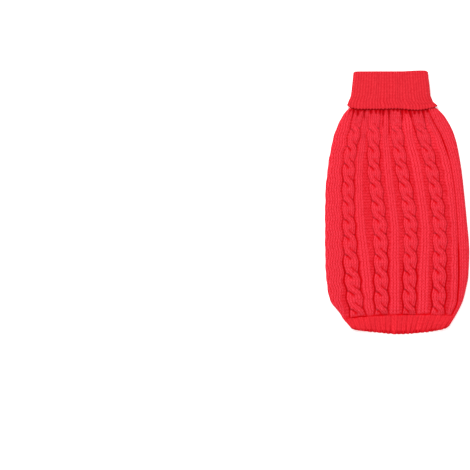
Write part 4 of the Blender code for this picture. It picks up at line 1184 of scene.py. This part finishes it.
# these two copies of the rib yarn differ in colour by painted shade and painted light
collarYarn = knitMaterial("acrylic yarn, one by one rib", *yarn["collar"], yarn["ribDepth"])
hemYarn = knitMaterial("acrylic yarn, two by two rib", *yarn["hem"], yarn["ribDepth"])
print("yarn dyed")

# A sheet of opal acrylic, matt and lit softly from below, so that its white is even
lightTable = {
    "size": 3.0,
    "surface": {
        "Base Color": linearColour("#fbfbfb"),
        "Roughness": 0.95,
        "Emission Color": (1, 1, 1, 1),
        "Emission Strength": 0.4,
    },
}
bpy.ops.object.select_all(action="DESELECT")
bpy.ops.mesh.primitive_plane_add(size=lightTable["size"], location=(0, 0, 0))
floor = bpy.context.object
floor.name = "floor"
floor.data.materials.append(newMaterial("opal acrylic light table", lightTable["surface"]))

dress = {  # yarn, slot, flat size and area in metres, how it is held, and what it rests on
    "back_panel": (cableYarn, "cable_knit", (0.190, 0.262), 0.0450, "folded", "belly_panel"),
    "belly_panel": (plainYarn, "plain_knit", (0.185, 0.262), 0.0400, "folded", "floor"),
    "hem_band": (hemYarn, "rib_knit", (0.270, 0.023), None, "laid", "floor"),
    "collar": (collarYarn, "rib_knit", (0.190, 0.092), None, "folded", "floor"),
    "cuff_left": (hemYarn, "rib_knit", (0.105, 0.0115), None, "laid", "floor"),
    "cuff_right": (hemYarn, "rib_knit", (0.105, 0.0115), None, "laid", "floor"),
}
for node, piece in pieces.items():
    material, slot, flat, area, held, under = dress[node]
    piece.data.materials.clear()
    piece.data.materials.append(material)
    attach(piece, "root")
    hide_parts(node)

camera = {
    "x": -198.1,
    "y": -39.8,
    "clothZ": 6.0,  # the cloth that is looked at lies this high
    "frameWidth": 573.96,
    "lens": 250.0,
    "sensor": 36.0,
    "farthest": 50.0,  # metres
}
lens = bpy.data.cameras.new("camera")
lens.lens = camera["lens"]
lens.sensor_width = camera["sensor"]
lens.clip_end = camera["farthest"]
eye = bpy.data.objects.new("camera", lens)
distance = camera["frameWidth"] * mm * camera["lens"] / camera["sensor"]
eye.location = (camera["x"] * mm, camera["y"] * mm, distance + camera["clothZ"] * mm)
bpy.context.scene.collection.objects.link(eye)
bpy.context.scene.camera = eye

studio = {
    "sky": 0.535,
    "key": (33.5, 0.46, (-0.5, 0.95, 1.75)),  # power, size, place
    "fill": (16.0, 1.6, (0.5, -2.1, 1.5)),
}
world = bpy.data.worlds.new("studio")
world.use_nodes = True
world.node_tree.nodes["Background"].inputs[0].default_value = (1, 1, 1, 1)
world.node_tree.nodes["Background"].inputs[1].default_value = studio["sky"]
bpy.context.scene.world = world
for name in ("key", "fill"):
    power, size, place = studio[name]
    bpy.ops.object.light_add(type="AREA", location=place)
    light = bpy.context.object
    light.name = name
    light.data.energy = power
    light.data.size = size
    light.rotation_mode = "QUATERNION"
    light.rotation_quaternion = light.location.to_track_quat("Z", "Y")
bpy.context.scene.view_settings.view_transform = "Standard"
print("camera and lights set")
